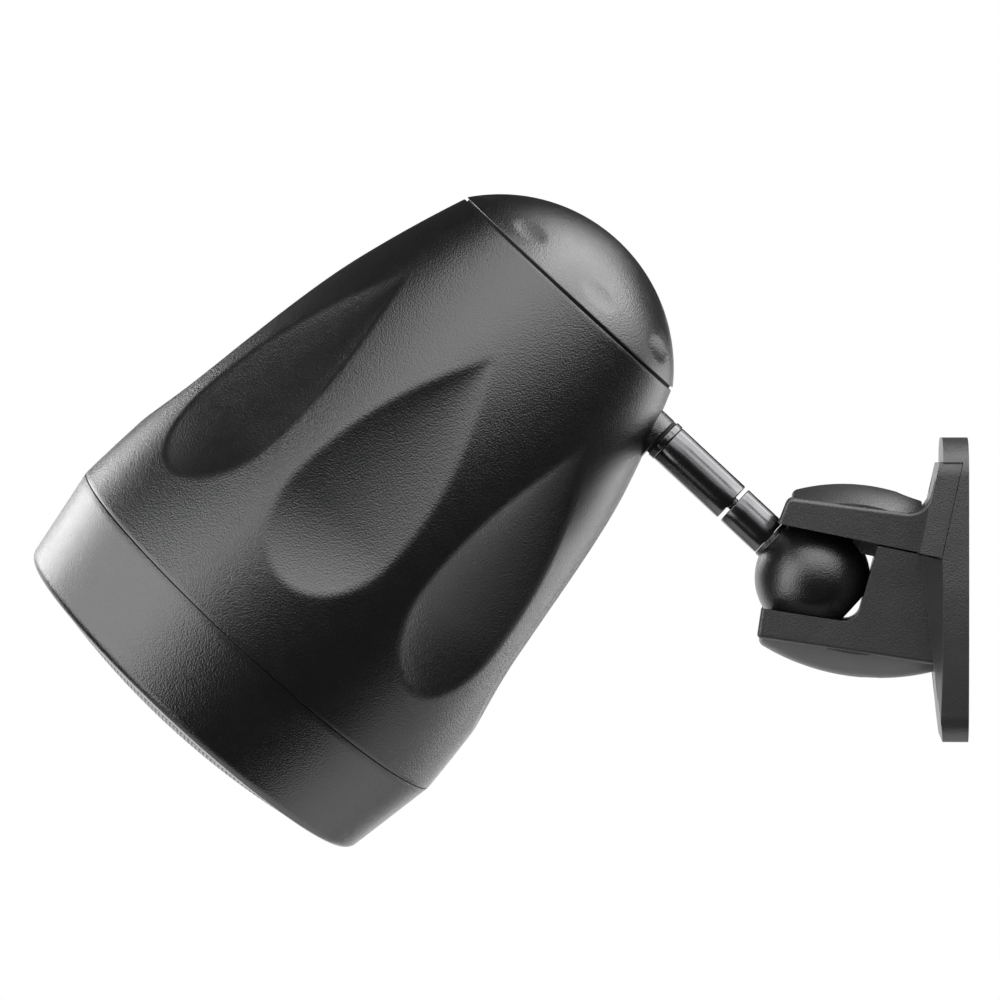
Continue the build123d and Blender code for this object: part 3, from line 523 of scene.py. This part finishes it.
@dataclass
class Housing:
    """Moulded bullet-shaped shell with teardrop scallops and the flat pad for the stem."""

    finish: bpy.types.Material
    place: Matrix
    length: float = 183.2
    front_r: float = 93.2
    rear_r: float = 56.0
    straight: float = 0.3
    power: float = 2.25
    wall: float = 4.0
    seam: float = 0.6
    rim_edge: float = 0.2
    scallops: int = 8
    tip: float = 38.0
    widest: float = 121.0
    front: float = 153.5
    half_width: float = 25.6
    depth: float = 6.2
    floor_power: float = 1.15
    side_power: float = 0.85
    edge_soft: float = 0.7
    pad_face: float = 65.636
    pad_middle: float = 19.5
    pad_length: float = 21.8
    pad_width: float = 19.4
    pad_depth: float = 14.0
    pad_edge: float = 0.5
    bowl_start: float = 140.0
    bowl_end: float = 156.0
    steps: int = 360
    lining_stride: int = 6

    def radius(self, station: float) -> float:
        """Ridge radius of the plain skin.

        Args:
            station: Distance in front of the rear joint line.

        Returns:
            The radius.
        """
        share = station / self.length
        swell = 1.0 - (1.0 - share) ** self.power
        rise = self.straight * share + (1.0 - self.straight) * swell
        return self.rear_r + (self.front_r - self.rear_r) * rise

    def hollow(self, station: float, across: float) -> float:
        """Depth of a teardrop scallop, negative outside its outline.

        Args:
            station: Distance in front of the rear joint line.
            across: Distance from the scallop's middle line.

        Returns:
            The depth below the plain skin.
        """
        if station <= self.tip:
            return -self.depth
        side = (across / self.half_width) ** 2
        if station < self.widest:
            narrow = 1.0 - ((self.widest - station) / (self.widest - self.tip)) ** 2
            return self.depth * (narrow**self.floor_power - side / narrow**self.side_power)
        return self.depth * (1.0 - ((station - self.widest) / (self.front - self.widest)) ** 2 - side)

    def carve(self, co: Vector) -> Vector:
        """Outer skin point with the scallops cut into it.

        Args:
            co: Point on the plain turned skin.

        Returns:
            The point on the finished skin.
        """
        round_r = math.hypot(co.x, co.y)
        angle = math.atan2(co.y, co.x)
        pitch = math.tau / self.scallops
        nearest = round(angle / pitch) * pitch
        along, across = round_r * math.cos(angle - nearest), round_r * math.sin(angle - nearest)
        along -= smooth_over(self.hollow(-co.z, across), self.edge_soft)
        return Vector((along * math.cos(nearest) - across * math.sin(nearest),
                       along * math.sin(nearest) + across * math.cos(nearest), co.z))

    def pad(self) -> bmesh.types.BMesh:
        """Flat-faced boss that the stem stands on, with a slot outline.

        Returns:
            The boss in the speaker's frame.
        """
        bm = bmesh.new()
        disc = bmesh.ops.create_circle(bm, cap_ends=True, segments=96, radius=self.pad_width / 2.0)
        stretch = (self.pad_length - self.pad_width) / 2.0
        for vert in disc["verts"]:
            vert.co.x += math.copysign(stretch, vert.co.x)
        top = bmesh.ops.extrude_face_region(bm, geom=bm.faces[:])["geom"]
        raised = [g for g in top if isinstance(g, bmesh.types.BMVert)]
        bmesh.ops.translate(bm, vec=(0.0, 0.0, self.pad_depth), verts=raised)
        bmesh.ops.recalc_face_normals(bm, faces=bm.faces[:])
        Shop.soften(bm, self.pad_edge, segments=3, angle=60.0)
        outwards = Matrix.Rotation(math.pi / 2.0, 3, "Y")
        bmesh.ops.rotate(bm, cent=(0, 0, 0), matrix=outwards, verts=bm.verts[:])
        seat = (self.pad_face - self.pad_depth, 0.0, -self.pad_middle)
        bmesh.ops.translate(bm, vec=seat, verts=bm.verts[:])
        return bm

    def stations(self) -> list[float]:
        """Stations of the skin from rear to front, closer together where the scallops end.

        Returns:
            The stations.
        """
        plain = spread(self.seam, self.tip, 24, with_end=False)
        drops = spread(self.tip, self.bowl_start, 84, with_end=False)
        bowls = spread(self.bowl_start, self.bowl_end, 28, with_end=False)
        return plain + drops + bowls + spread(self.bowl_end, self.length, 16)

    def build(self) -> None:
        """Turn the shell, carve its scallops and set the pad on it."""
        rows = self.stations()
        skin = [(self.radius(s), -s) for s in rows]
        lip = [(self.radius(self.length) - self.wall, -self.length)]
        lining = [(self.radius(s) - self.wall, -s) for s in reversed(rows[::self.lining_stride])]
        bm = Shop.turn(skin + lip + lining, self.steps)
        for vert in bm.verts:
            outward = Vector((vert.co.x, vert.co.y, 0.0))
            skin_r = self.radius(-vert.co.z)
            inset = skin_r - outward.length
            outward.normalize()
            plain = outward * skin_r + Vector((0.0, 0.0, vert.co.z))
            vert.co = self.carve(plain) - outward * inset
        Shop.soften(bm, self.rim_edge, segments=2, angle=50.0)
        boss = self.pad()
        mesh = bpy.data.meshes.new("stem_pad")
        boss.to_mesh(mesh)
        boss.free()
        bm.from_mesh(mesh)
        bpy.data.meshes.remove(mesh)
        shell = Shop.piece(bm, "housing_shell", self.place, self.finish, angle=40.0)
        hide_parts("main_housing")
        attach(shell, Body.SPEAKER.value)


@dataclass
class RearCap:
    """Domed rear cover with shallow oval finger dents."""

    finish: bpy.types.Material
    place: Matrix
    base: float = 0.6
    rim_r: float = 56.0
    height: float = 28.36
    wall: float = 3.5
    rim_edge: float = 0.6
    dents: int = 8
    dent_turn: float = 14.0
    dent_rise: float = 7.8
    dent_long: float = 18.0
    dent_short: float = 10.5
    dent_depth: float = 0.7
    dent_power: float = 1.2
    rows: int = 64
    lining_rows: int = 10
    steps: int = 288

    @property
    def sphere_r(self) -> float:
        """Radius of the dome."""
        return (self.rim_r**2 + self.height**2) / (2.0 * self.height)

    @property
    def centre(self) -> float:
        """Station of the dome's centre."""
        return self.base + self.height - self.sphere_r

    def press(self, co: Vector) -> Vector:
        """Dome point with the dents pressed in.

        Args:
            co: Point on the dome, from the dome's centre.

        Returns:
            The pressed point.
        """
        level = math.asin((self.base + self.dent_rise - self.centre) / self.sphere_r)
        pitch = math.tau / self.dents
        angle = math.atan2(co.y, co.x) - math.radians(self.dent_turn)
        nearest = round(angle / pitch) * pitch
        side = (angle - nearest) * math.hypot(co.x, co.y)
        rise = (math.asin(max(-1.0, min(1.0, co.z / co.length))) - level) * self.sphere_r
        reach = math.hypot(2.0 * side / self.dent_long, 2.0 * rise / self.dent_short)
        if reach >= 1.0:
            return co
        bowl = (1.0 - reach**2) ** self.dent_power
        return co * (1.0 - self.dent_depth * bowl / co.length)

    def arc(self, radius: float, rows: int) -> list[tuple[float, float]]:
        """Outline of a dome from its base to its top, which lies on the axis.

        Args:
            radius: Radius of the dome.
            rows: Steps along it.

        Returns:
            Points as radius and station.
        """
        start = math.asin((self.base - self.centre) / radius)
        turns = spread(start, math.pi / 2.0, rows)
        points = [(radius * math.cos(a), self.centre + radius * math.sin(a)) for a in turns]
        return points[:-1] + [(0.0, points[-1][1])]

    def build(self) -> None:
        """Turn the dome and press the dents."""
        outer = self.arc(self.sphere_r, self.rows)
        inner = self.arc(self.sphere_r - self.wall, self.lining_rows)
        bm = Shop.turn(outer + inner[::-1], self.steps)
        middle = Vector((0.0, 0.0, self.centre))
        for vert in bm.verts:
            reach = vert.co - middle
            if reach.length > self.sphere_r - 0.5 * self.wall:
                vert.co = middle + self.press(reach)
        Shop.soften(bm, self.rim_edge, segments=3, angle=50.0)
        cap = Shop.piece(bm, "rear_dome", self.place, self.finish, angle=40.0)
        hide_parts("rear_cap")
        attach(cap, Body.SPEAKER.value)


@dataclass
class FrontBezel:
    """Tapered front ring with a plain rounded lip."""

    finish: bpy.types.Material
    place: Matrix
    rear: float = -183.55
    front: float = -222.6
    rear_r: float = 93.2
    front_r: float = 86.8
    lip: float = -224.6
    bore_r: float = 76.2
    ledge_r: float = 73.0
    ledge: float = -219.6
    shelf: float = -216.6
    wall: float = 3.5
    joint_edge: float = 0.2
    joint_zone: float = -200.0
    bore_zone_r: float = 80.0
    lip_edge: float = 3.6
    lip_zone: float = -220.0
    lip_zone_r: float = 84.0
    rows: int = 14
    steps: int = 288

    def build(self) -> None:
        """Turn the ring and round its lip."""
        slope = (self.front_r - self.rear_r) / (self.front - self.rear)
        outer = [(self.rear_r + slope * (s - self.rear), s) for s in spread(self.rear, self.front, self.rows)]
        inside = self.rear_r + slope * (self.shelf - self.rear) - self.wall
        bore = [(self.bore_r, self.lip), (self.bore_r, self.ledge), (self.ledge_r, self.ledge)]
        back = [(self.ledge_r, self.shelf), (inside, self.shelf), (self.rear_r - self.wall, self.rear)]
        bm = Shop.turn(outer + bore + back, self.steps)
        Shop.soften(bm, self.joint_edge, segments=2, angle=40.0, keep=self._is_joint_or_bore)
        Shop.soften(bm, self.lip_edge, segments=6, angle=40.0, keep=self._is_lip)
        ring = Shop.piece(bm, "front_ring", self.place, self.finish, angle=40.0)
        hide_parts("front_bezel")
        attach(ring, Body.SPEAKER.value)

    def _is_joint_or_bore(self, edge: bmesh.types.BMEdge) -> bool:
        """True for an edge at the joint line or in the bore."""
        return self._rim_of(edge) > self.joint_zone or self._round_of(edge) < self.bore_zone_r

    def _is_lip(self, edge: bmesh.types.BMEdge) -> bool:
        """True for an edge of the outer lip."""
        return self._rim_of(edge) < self.lip_zone and self._round_of(edge) > self.lip_zone_r

    @staticmethod
    def _rim_of(edge: bmesh.types.BMEdge) -> float:
        """Station of an edge's middle."""
        return (edge.verts[0].co.z + edge.verts[1].co.z) / 2.0

    @staticmethod
    def _round_of(edge: bmesh.types.BMEdge) -> float:
        """Radius of an edge's first end."""
        return math.hypot(edge.verts[0].co.x, edge.verts[0].co.y)


@dataclass
class Grille:
    """Shallow domed sheet of black steel with fine round perforation."""

    finish: bpy.types.Material
    place: Matrix
    radius: float = 76.0
    rise: float = 9.0
    edge: float = -224.6
    skirt: float = 5.0
    sheet: float = 0.8
    pitch: float = 2.2
    hole: float = 0.6
    border: float = 0.9
    shear_room: float = 1.6
    rim_width: float = 2.2
    rim_proud: float = 0.02
    rim_edge: float = 0.25
    rim_rows: int = 4
    steps: int = 288

    def dome(self, round_r: float) -> float:
        """Station of the sheet's front at a radius."""
        ball = (self.radius**2 + self.rise**2) / (2.0 * self.rise)
        return self.edge - self.rise + ball - math.sqrt(ball**2 - round_r**2)

    def perforated(self) -> bpy.types.Object:
        """Perforate a flat sheet with staggered holes and dome it.

        Returns:
            The sheet.
        """
        row = self.pitch * math.sqrt(3.0) / 2.0
        count = 2 * math.ceil(self.radius / row) + 2
        wide = 2 * math.ceil(self.shear_room * self.radius / self.pitch)
        bm = bmesh.new()
        bmesh.ops.create_grid(bm, x_segments=wide, y_segments=count, size=0.5)
        bmesh.ops.scale(bm, vec=(wide * self.pitch, count * row, 1.0), verts=bm.verts[:])
        shear = Matrix.Identity(4)
        shear[0][1] = 1.0 / math.sqrt(3.0)
        stagger = Matrix.Rotation(math.pi / 2.0, 4, "Z") @ shear
        bmesh.ops.transform(bm, matrix=stagger, verts=bm.verts[:])
        limit = self.radius - self.border
        outside = [v for v in bm.verts if math.hypot(v.co.x, v.co.y) > limit]
        bmesh.ops.delete(bm, geom=outside, context="VERTS")
        bmesh.ops.triangulate(bm, faces=bm.faces[:], quad_method="SHORT_EDGE")
        cut = bmesh.ops.bevel(bm, geom=bm.verts[:], offset=self.hole, offset_type="OFFSET", segments=1,
                              profile=0.5, affect="VERTICES", clamp_overlap=False, material=-1)
        bmesh.ops.delete(bm, geom=cut["faces"], context="FACES_ONLY")
        for vert in bm.verts:
            vert.co.z = self.dome(math.hypot(vert.co.x, vert.co.y))
        bmesh.ops.recalc_face_normals(bm, faces=bm.faces[:])
        if bm.faces[:][0].normal.z > 0.0:
            bmesh.ops.reverse_faces(bm, faces=bm.faces[:])
        bmesh.ops.solidify(bm, geom=bm.faces[:], thickness=self.sheet)
        return Shop.piece(bm, "grille_sheet", self.place, self.finish, angle=30.0)

    def plain_border(self) -> bpy.types.Object:
        """Turn the plain border with its skirt.

        Returns:
            The border.
        """
        rows = spread(self.radius - self.rim_width, self.radius, self.rim_rows)
        top = [(r, self.dome(r) - self.rim_proud) for r in rows]
        under = [(r, self.dome(r) + self.sheet) for r in reversed(rows[:-1])]
        foot = self.edge + self.skirt
        skirt = [(self.radius, foot), (self.radius - self.sheet, foot)]
        bm = Shop.turn(top + skirt + under, self.steps)
        Shop.soften(bm, self.rim_edge, segments=2, angle=40.0)
        return Shop.piece(bm, "grille_border", self.place, self.finish)

    def build(self) -> None:
        """Make the perforated sheet and put the border round it."""
        face = self.perforated()
        border = self.plain_border()
        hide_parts("grille")
        for made in (face, border):
            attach(made, Body.SPEAKER.value)


@dataclass
class Stem:
    """Gloss tube and stud with their ring, seal and threaded core, and the grained ball."""

    gloss: bpy.types.Material
    grained: bpy.types.Material
    rubber: bpy.types.Material
    steel: bpy.types.Material
    place: Matrix
    radius: float = 8.3
    tube_edge: float = 0.5
    pad_face: float = 65.636
    seal: float = 1.2
    seal_r: float = 8.0
    seal_edge: float = 0.2
    ring: float = 3.0
    ring_r: float = 8.6
    sleeve_end: float = 104.2
    stud_start: float = 105.8
    stud_end: float = 124.6
    rod_r: float = 2.8
    rod_gap: float = 0.05
    rod_bore_r: float = 1.2
    rod_start: float = 42.04
    rod_end: float = 166.7
    thread_pitch: float = 0.8
    thread_depth: float = 0.45
    thread_reach: float = 2.0
    thread_root: float = 0.4
    thread_crest: float = 0.8
    ball_at: float = 148.2
    ball_r: float = 23.0
    ball_flat: float = 19.5
    ball_edge: float = 0.35
    ball_rows: int = 72
    recess_r: float = 5.9
    recess_depth: float = 6.0
    neck_r: float = 8.4
    neck_start: float = 124.8

    @property
    def bore(self) -> float:
        """Radius of the bore that the rod passes through."""
        return self.rod_r + self.rod_gap

    def tube(self, name: str, start: float, end: float, radius: float, edge: float,
             finish: bpy.types.Material, body: Body, node: str) -> None:
        """Turn one tube of the stem with rounded ends.

        Args:
            name: Name of the piece.
            start: Station where it begins.
            end: Station where it ends.
            radius: Outer radius.
            edge: Rounding of its ends.
            finish: Its material.
            body: Body that it rides on.
            node: Node that it stands for.
        """
        skin = [(radius, s) for s in spread(start, end, 4)]
        bm = Shop.turn(skin + [(self.bore, end), (self.bore, start)], steps=128)
        Shop.soften(bm, edge, segments=4, angle=40.0)
        made = Shop.piece(bm, name, self.place, finish, angle=50.0)
        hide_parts(node)
        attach(made, body.value)

    def core(self) -> None:
        """Turn the threaded core that shows in the gap between tube and stud."""
        pitch, root_r = self.thread_pitch, self.rod_r - self.thread_depth
        first, last = self.sleeve_end - self.thread_reach, self.stud_start + self.thread_reach
        outline = [(self.rod_bore_r, self.rod_start), (self.rod_r, self.rod_start), (self.rod_r, first)]
        for i in range(int((last - first) / pitch)):
            at = first + pitch * i
            outline += [(root_r, at + self.thread_root * pitch), (self.rod_r, at + self.thread_crest * pitch)]
        outline += [(self.rod_r, self.rod_end), (self.rod_bore_r, self.rod_end)]
        bm = Shop.turn(outline, steps=64)
        made = Shop.piece(bm, "threaded_core", self.place, self.steel, angle=50.0)
        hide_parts("stem_rod")
        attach(made, Body.BALL_STUD.value)

    def ball(self) -> None:
        """Turn the grained ball with its neck and its flat, recessed end."""
        low = -math.acos(self.neck_r / self.ball_r)
        high = math.asin(self.ball_flat / self.ball_r)
        arc = spread(low, high, self.ball_rows)
        skin = [(self.ball_r * math.cos(a), self.ball_at + self.ball_r * math.sin(a)) for a in arc]
        neck = [(self.bore, self.neck_start), (self.neck_r, self.neck_start)]
        flat = self.ball_at + self.ball_flat
        sunk = flat - self.recess_depth
        recess = [(self.recess_r, flat), (self.recess_r, sunk), (self.bore, sunk)]
        bm = Shop.turn(neck + skin + recess, steps=160)
        Shop.soften(bm, self.ball_edge, segments=3, angle=35.0)
        made = Shop.piece(bm, "clamp_ball", self.place, self.grained, angle=45.0)
        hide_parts("ball")
        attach(made, Body.BALL_STUD.value)

    def build(self) -> None:
        """Build every piece of the stem."""
        ring_start = self.pad_face + self.seal
        sleeve_start = ring_start + self.ring
        self.tube("stem_seal_ring", self.pad_face, ring_start, self.seal_r, self.seal_edge, self.rubber,
                  Body.SPEAKER, "stem_gasket")
        self.tube("stem_collar", ring_start, sleeve_start, self.ring_r, self.tube_edge, self.gloss,
                  Body.SPEAKER, "lock_ring")
        self.tube("stem_tube", sleeve_start, self.sleeve_end, self.radius, self.tube_edge, self.gloss,
                  Body.SPEAKER, "stem_sleeve")
        self.tube("ball_stud_tube", self.stud_start, self.stud_end, self.radius, self.tube_edge, self.gloss,
                  Body.BALL_STUD, "stem_stud")
        self.core()
        self.ball()


@dataclass
class Bracket:
    """Wall plate with web and lower jaw, and the clamp jaw, with softened moulded edges."""

    finish: bpy.types.Material
    nodes: dict[str, bpy.types.Object]
    edge: float = 0.9
    weld: float = 1e-3
    flat_angle: float = 1.0

    def soften_node(self, node: str, name: str) -> None:
        """Copy a moulding, round its edges and keep its flat faces flat in the light.

        Args:
            node: Node to copy.
            name: Name of the piece.
        """
        bm = bmesh.new()
        bm.from_mesh(self.nodes[node].data)
        bmesh.ops.scale(bm, vec=(1.0 / MM,) * 3, verts=bm.verts[:])
        bmesh.ops.remove_doubles(bm, verts=bm.verts[:], dist=self.weld)
        bmesh.ops.dissolve_limit(bm, angle_limit=math.radians(self.flat_angle), verts=bm.verts[:],
                                 edges=bm.edges[:])
        Shop.soften(bm, self.edge, segments=4, angle=30.0)
        made = Shop.piece(bm, name, Matrix.Scale(MM, 4), self.finish, angle=30.0)
        flats = made.modifiers.new("flat_faces", "WEIGHTED_NORMAL")
        flats.mode = "FACE_AREA"
        flats.weight = 100
        flats.keep_sharp = True
        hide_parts(node)
        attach(made, Body.BRACKET.value)

    def build(self) -> None:
        """Build the plate and the clamp jaw."""
        self.soften_node("bracket_base", "wall_bracket")
        self.soften_node("clamp_jaw", "upper_jaw")


@dataclass(frozen=True)
class Lamp:
    """Soft lamp: turn from the camera and rise in degrees, sides in millimetres, power in watts."""

    name: str
    turn: float
    rise: float
    width: float
    height: float
    watts: float

    @property
    def way(self) -> Vector:
        """Direction from the speaker to the lamp."""
        side, lift = math.radians(self.turn), math.radians(self.rise)
        return Vector((math.sin(side) * math.cos(lift), -math.cos(side) * math.cos(lift), math.sin(lift)))


@dataclass
class Studio:
    """Pale floor, soft surroundings, lamps and the camera at the photograph's angle."""

    eye: Point = (-57.6, -1900.0, 56.8)
    target: Point = (-185.6, 0.0, 34.8)
    scale: float = 0.4
    picture_px: float = 1000.0
    sensor_width: float = 36.0
    clip_end: float = 50.0
    floor_z: float = -1800.0
    floor_half: float = 3000.0
    floor_front: float = 600.0
    floor_tint: Tint = (0.85, 0.85, 0.85)
    floor_roughness: float = 0.9
    room_strength: float = 0.03
    middle: Point = (-170.0, 0.0, 40.0)
    lamp_reach: float = 2000.0
    lamps: list[Lamp] = field(default_factory=lambda: [
        Lamp("overhead_bank", 12.0, 61.0, 2100.0, 2400.0, 31.0),
        Lamp("top_right_box", 92.0, 50.0, 1900.0, 1600.0, 29.0),
        Lamp("top_rear_box", 135.0, 50.0, 1200.0, 1400.0, 8.0),
        Lamp("left_box", -60.0, 18.0, 2900.0, 1300.0, 27.0),
        Lamp("left_rear_strip", -125.0, 18.0, 1400.0, 700.0, 15.0),
        Lamp("left_low_box", -55.0, -14.0, 1400.0, 1200.0, 11.0),
        Lamp("right_box", 85.0, 24.0, 2600.0, 1000.0, 16.0),
        Lamp("front_right_box", 36.0, 22.0, 900.0, 700.0, 3.0),
        Lamp("front_box", 4.0, 24.0, 1000.0, 800.0, 3.0),
        Lamp("back_right_panel", 135.0, -14.0, 1400.0, 1400.0, 12.0),
        Lamp("back_left_panel", -160.0, -12.0, 2600.0, 1400.0, 15.0),
    ])

    @staticmethod
    def aim(made: bpy.types.Object, eye: Vector, target: Vector) -> None:
        """Put a camera or a lamp at a point and turn it to another."""
        made.location = eye
        made.rotation_euler = (target - eye).to_track_quat("-Z", "Y").to_euler()

    @staticmethod
    def show(tree: bpy.types.NodeTree, lit: Socket, seen: Socket, surface: Socket) -> None:
        """Show the camera one shader while another takes part in the lighting.

        Args:
            tree: Tree of the material or the world.
            lit: Shader that takes part in the lighting.
            seen: Shader that the camera sees.
            surface: Socket of the output.
        """
        path = tree.nodes.new("ShaderNodeLightPath")
        mix = tree.nodes.new("ShaderNodeMixShader")
        tree.links.new(path.outputs["Is Camera Ray"], mix.inputs["Fac"])
        tree.links.new(lit, mix.inputs[1])
        tree.links.new(seen, mix.inputs[2])
        tree.links.new(mix.outputs["Shader"], surface)

    def camera(self) -> None:
        """Place the camera at the photograph's viewpoint."""
        data = bpy.data.cameras.new("photo_camera")
        eye, target = Vector(self.eye) * MM, Vector(self.target) * MM
        reach = (target - eye).length
        data.sensor_width = self.sensor_width
        data.lens = reach / (self.scale * MM) * self.sensor_width / self.picture_px
        data.clip_end = self.clip_end
        made = Shop.add("photo_camera", data)
        self.aim(made, eye, target)
        bpy.context.scene.camera = made

    def floor(self) -> None:
        """Lay a pale floor far below the speaker, which the camera sees as plain white."""
        bm = bmesh.new()
        bmesh.ops.create_grid(bm, x_segments=2, y_segments=2, size=self.floor_half)
        shift = (0.0, self.floor_half - self.floor_front, self.floor_z)
        bmesh.ops.translate(bm, vec=shift, verts=bm.verts[:])
        bmesh.ops.scale(bm, vec=(MM, MM, MM), verts=bm.verts[:])
        mesh = bpy.data.meshes.new("studio_floor")
        bm.to_mesh(mesh)
        bm.free()
        tree = NodeTree("pale_floor")
        tree.shader.inputs["Base Color"].default_value = (*self.floor_tint, 1.0)
        tree.set("Roughness", self.floor_roughness)
        glow = tree.nodes.new("ShaderNodeEmission")
        glow.inputs["Strength"].default_value = 1.0
        self.show(tree.material.node_tree, tree.shader.outputs["BSDF"], glow.outputs["Emission"],
                  tree.output.inputs["Surface"])
        mesh.materials.append(tree.material)
        made = Shop.add("studio_floor", mesh)

    def surroundings(self) -> None:
        """White backdrop for the camera, in a dim room."""
        world = bpy.data.worlds.new("studio_room")
        bpy.context.scene.world = world
        world.use_nodes = True
        nodes = world.node_tree.nodes
        nodes.clear()
        output = nodes.new("ShaderNodeOutputWorld")
        room = nodes.new("ShaderNodeBackground")
        white = nodes.new("ShaderNodeBackground")
        room.inputs["Color"].default_value = WHITE
        room.inputs["Strength"].default_value = self.room_strength
        white.inputs["Color"].default_value = WHITE
        self.show(world.node_tree, room.outputs["Background"], white.outputs["Background"],
                  output.inputs["Surface"])

    def lights(self) -> None:
        """Hang the soft lamps round the speaker, each turned to it."""
        middle = Vector(self.middle) * MM
        for lamp in self.lamps:
            data = bpy.data.lights.new(lamp.name, "AREA")
            data.shape = "RECTANGLE"
            data.size, data.size_y = lamp.width * MM, lamp.height * MM
            data.energy = lamp.watts
            made = Shop.add(lamp.name, data)
            made.visible_camera = False
            self.aim(made, middle + lamp.way * self.lamp_reach * MM, middle)

    def build(self) -> None:
        """Set up the whole studio."""
        self.camera()
        self.floor()
        self.surroundings()
        self.lights()
        bpy.context.scene.view_settings.view_transform = "Standard"


class Finishes:
    """Every finish of the speaker, by the record's material slot."""

    def __init__(self) -> None:
        """Build the materials."""
        self.housing = MouldedPlastic("pebble_black", (0.003, 0.003, 0.0032), Grain.PEBBLE, roughness=0.29,
                                      grain_mm=0.65, relief_mm=0.11, strength=0.65, gloss=0.9).make()
        self.ball = MouldedPlastic("ball_black", (0.004, 0.004, 0.0042), Grain.PEBBLE, roughness=0.31,
                                   grain_mm=0.62, relief_mm=0.1, strength=0.65, gloss=0.9).make()
        self.bracket = MouldedPlastic("satin_black", (0.028, 0.028, 0.029), Grain.PEBBLE, roughness=0.4,
                                      grain_mm=0.6, relief_mm=0.1, strength=0.55, gloss=0.8).make()
        self.gloss = GlossPlate("gloss_black", (0.17, 0.17, 0.175), roughness=0.2).make()
        self.sheet = GlossPlate("grille_black", (0.1, 0.1, 0.102), roughness=0.34).make()
        self.rubber = SoftSkin("seal_rubber", (0.012, 0.012, 0.012)).make()
        self.steel = BareMetal("zinc_steel", (0.42, 0.42, 0.43)).make()
        self.by_slot: dict[str, bpy.types.Material] = {
            "housing": self.housing,
            "bracket": self.bracket,
            "gloss_black": self.gloss,
            "grille": self.sheet,
            "seal": self.rubber,
            "fastener": self.steel,
            **self.drivers(),
            **self.crossover(),
        }

    @staticmethod
    def drivers() -> dict[str, bpy.types.Material]:
        """Finishes of the woofer and the tweeter.

        Returns:
            The materials by slot.
        """
        return {
            "basket": MouldedPlastic("basket_black", (0.03, 0.03, 0.03), Grain.FINE, roughness=0.5,
                                     grain_mm=0.8, relief_mm=0.04, strength=0.3).make(),
            "cone": SoftSkin("pulp_cone", (0.05, 0.05, 0.052), roughness=0.8, fleck_mm=1.4).make(),
            "coil": BareMetal("coil_winding", (0.6, 0.34, 0.2), roughness=0.4, mark_mm=0.6).make(),
            "spider": SoftSkin("resin_cloth", (0.45, 0.3, 0.1), roughness=0.8, fleck_mm=0.7).make(),
            "steel": BareMetal("plate_steel", (0.5, 0.5, 0.5), roughness=0.4).make(),
            "magnet": SoftSkin("ferrite", (0.07, 0.07, 0.075), roughness=0.6).make(),
            "tweeter": MouldedPlastic("tweeter_black", (0.025, 0.025, 0.025), Grain.FINE, roughness=0.5,
                                      grain_mm=0.7, relief_mm=0.03, strength=0.25).make(),
            "tweeter_dome": SoftSkin("coated_cloth", (0.05, 0.05, 0.05), roughness=0.7, fleck_mm=0.5).make(),
        }

    @staticmethod
    def crossover() -> dict[str, bpy.types.Material]:
        """Finishes of the crossover's pieces.

        Returns:
            The materials by slot.
        """
        return {
            "board": MouldedPlastic("board_green", (0.03, 0.14, 0.05), Grain.FINE, roughness=0.3,
                                    grain_mm=1.5, relief_mm=0.03, strength=0.2).make(),
            "copper": BareMetal("copper_wire", (0.75, 0.36, 0.18), roughness=0.3, mark_mm=0.8).make(),
            "capacitor": MouldedPlastic("capacitor_sleeve", (0.03, 0.04, 0.09), Grain.SMOOTH,
                                        roughness=0.3).make(),
            "terminal": MouldedPlastic("terminal_green", (0.02, 0.09, 0.04), Grain.FINE, roughness=0.4,
                                       grain_mm=0.9, relief_mm=0.03, strength=0.2).make(),
        }

    def dress(self, frame: dict) -> None:
        """Give every carried-over node the finish of its slot.

        Args:
            frame: The loaded frame.
        """
        for entry in frame["record"]["subparts"]:
            mesh = frame["nodes"][entry["node"]].data
            mesh.materials.clear()
            mesh.materials.append(self.by_slot[entry["material_slot"]])


def main() -> None:
    """Build the speaker's pieces in order."""
    logging.basicConfig(level=logging.INFO, format="%(name)s: %(message)s")
    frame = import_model()
    where = Placement()
    finishes = Finishes()
    finishes.dress(frame)
    Studio().build()
    Housing(finishes.housing, where.speaker()).build()
    RearCap(finishes.housing, where.speaker()).build()
    FrontBezel(finishes.housing, where.speaker()).build()
    Grille(finishes.sheet, where.speaker()).build()
    Stem(finishes.gloss, finishes.ball, finishes.rubber, finishes.steel, where.stem()).build()
    Bracket(finishes.bracket, frame["nodes"]).build()


if __name__ == "__main__":
    main()
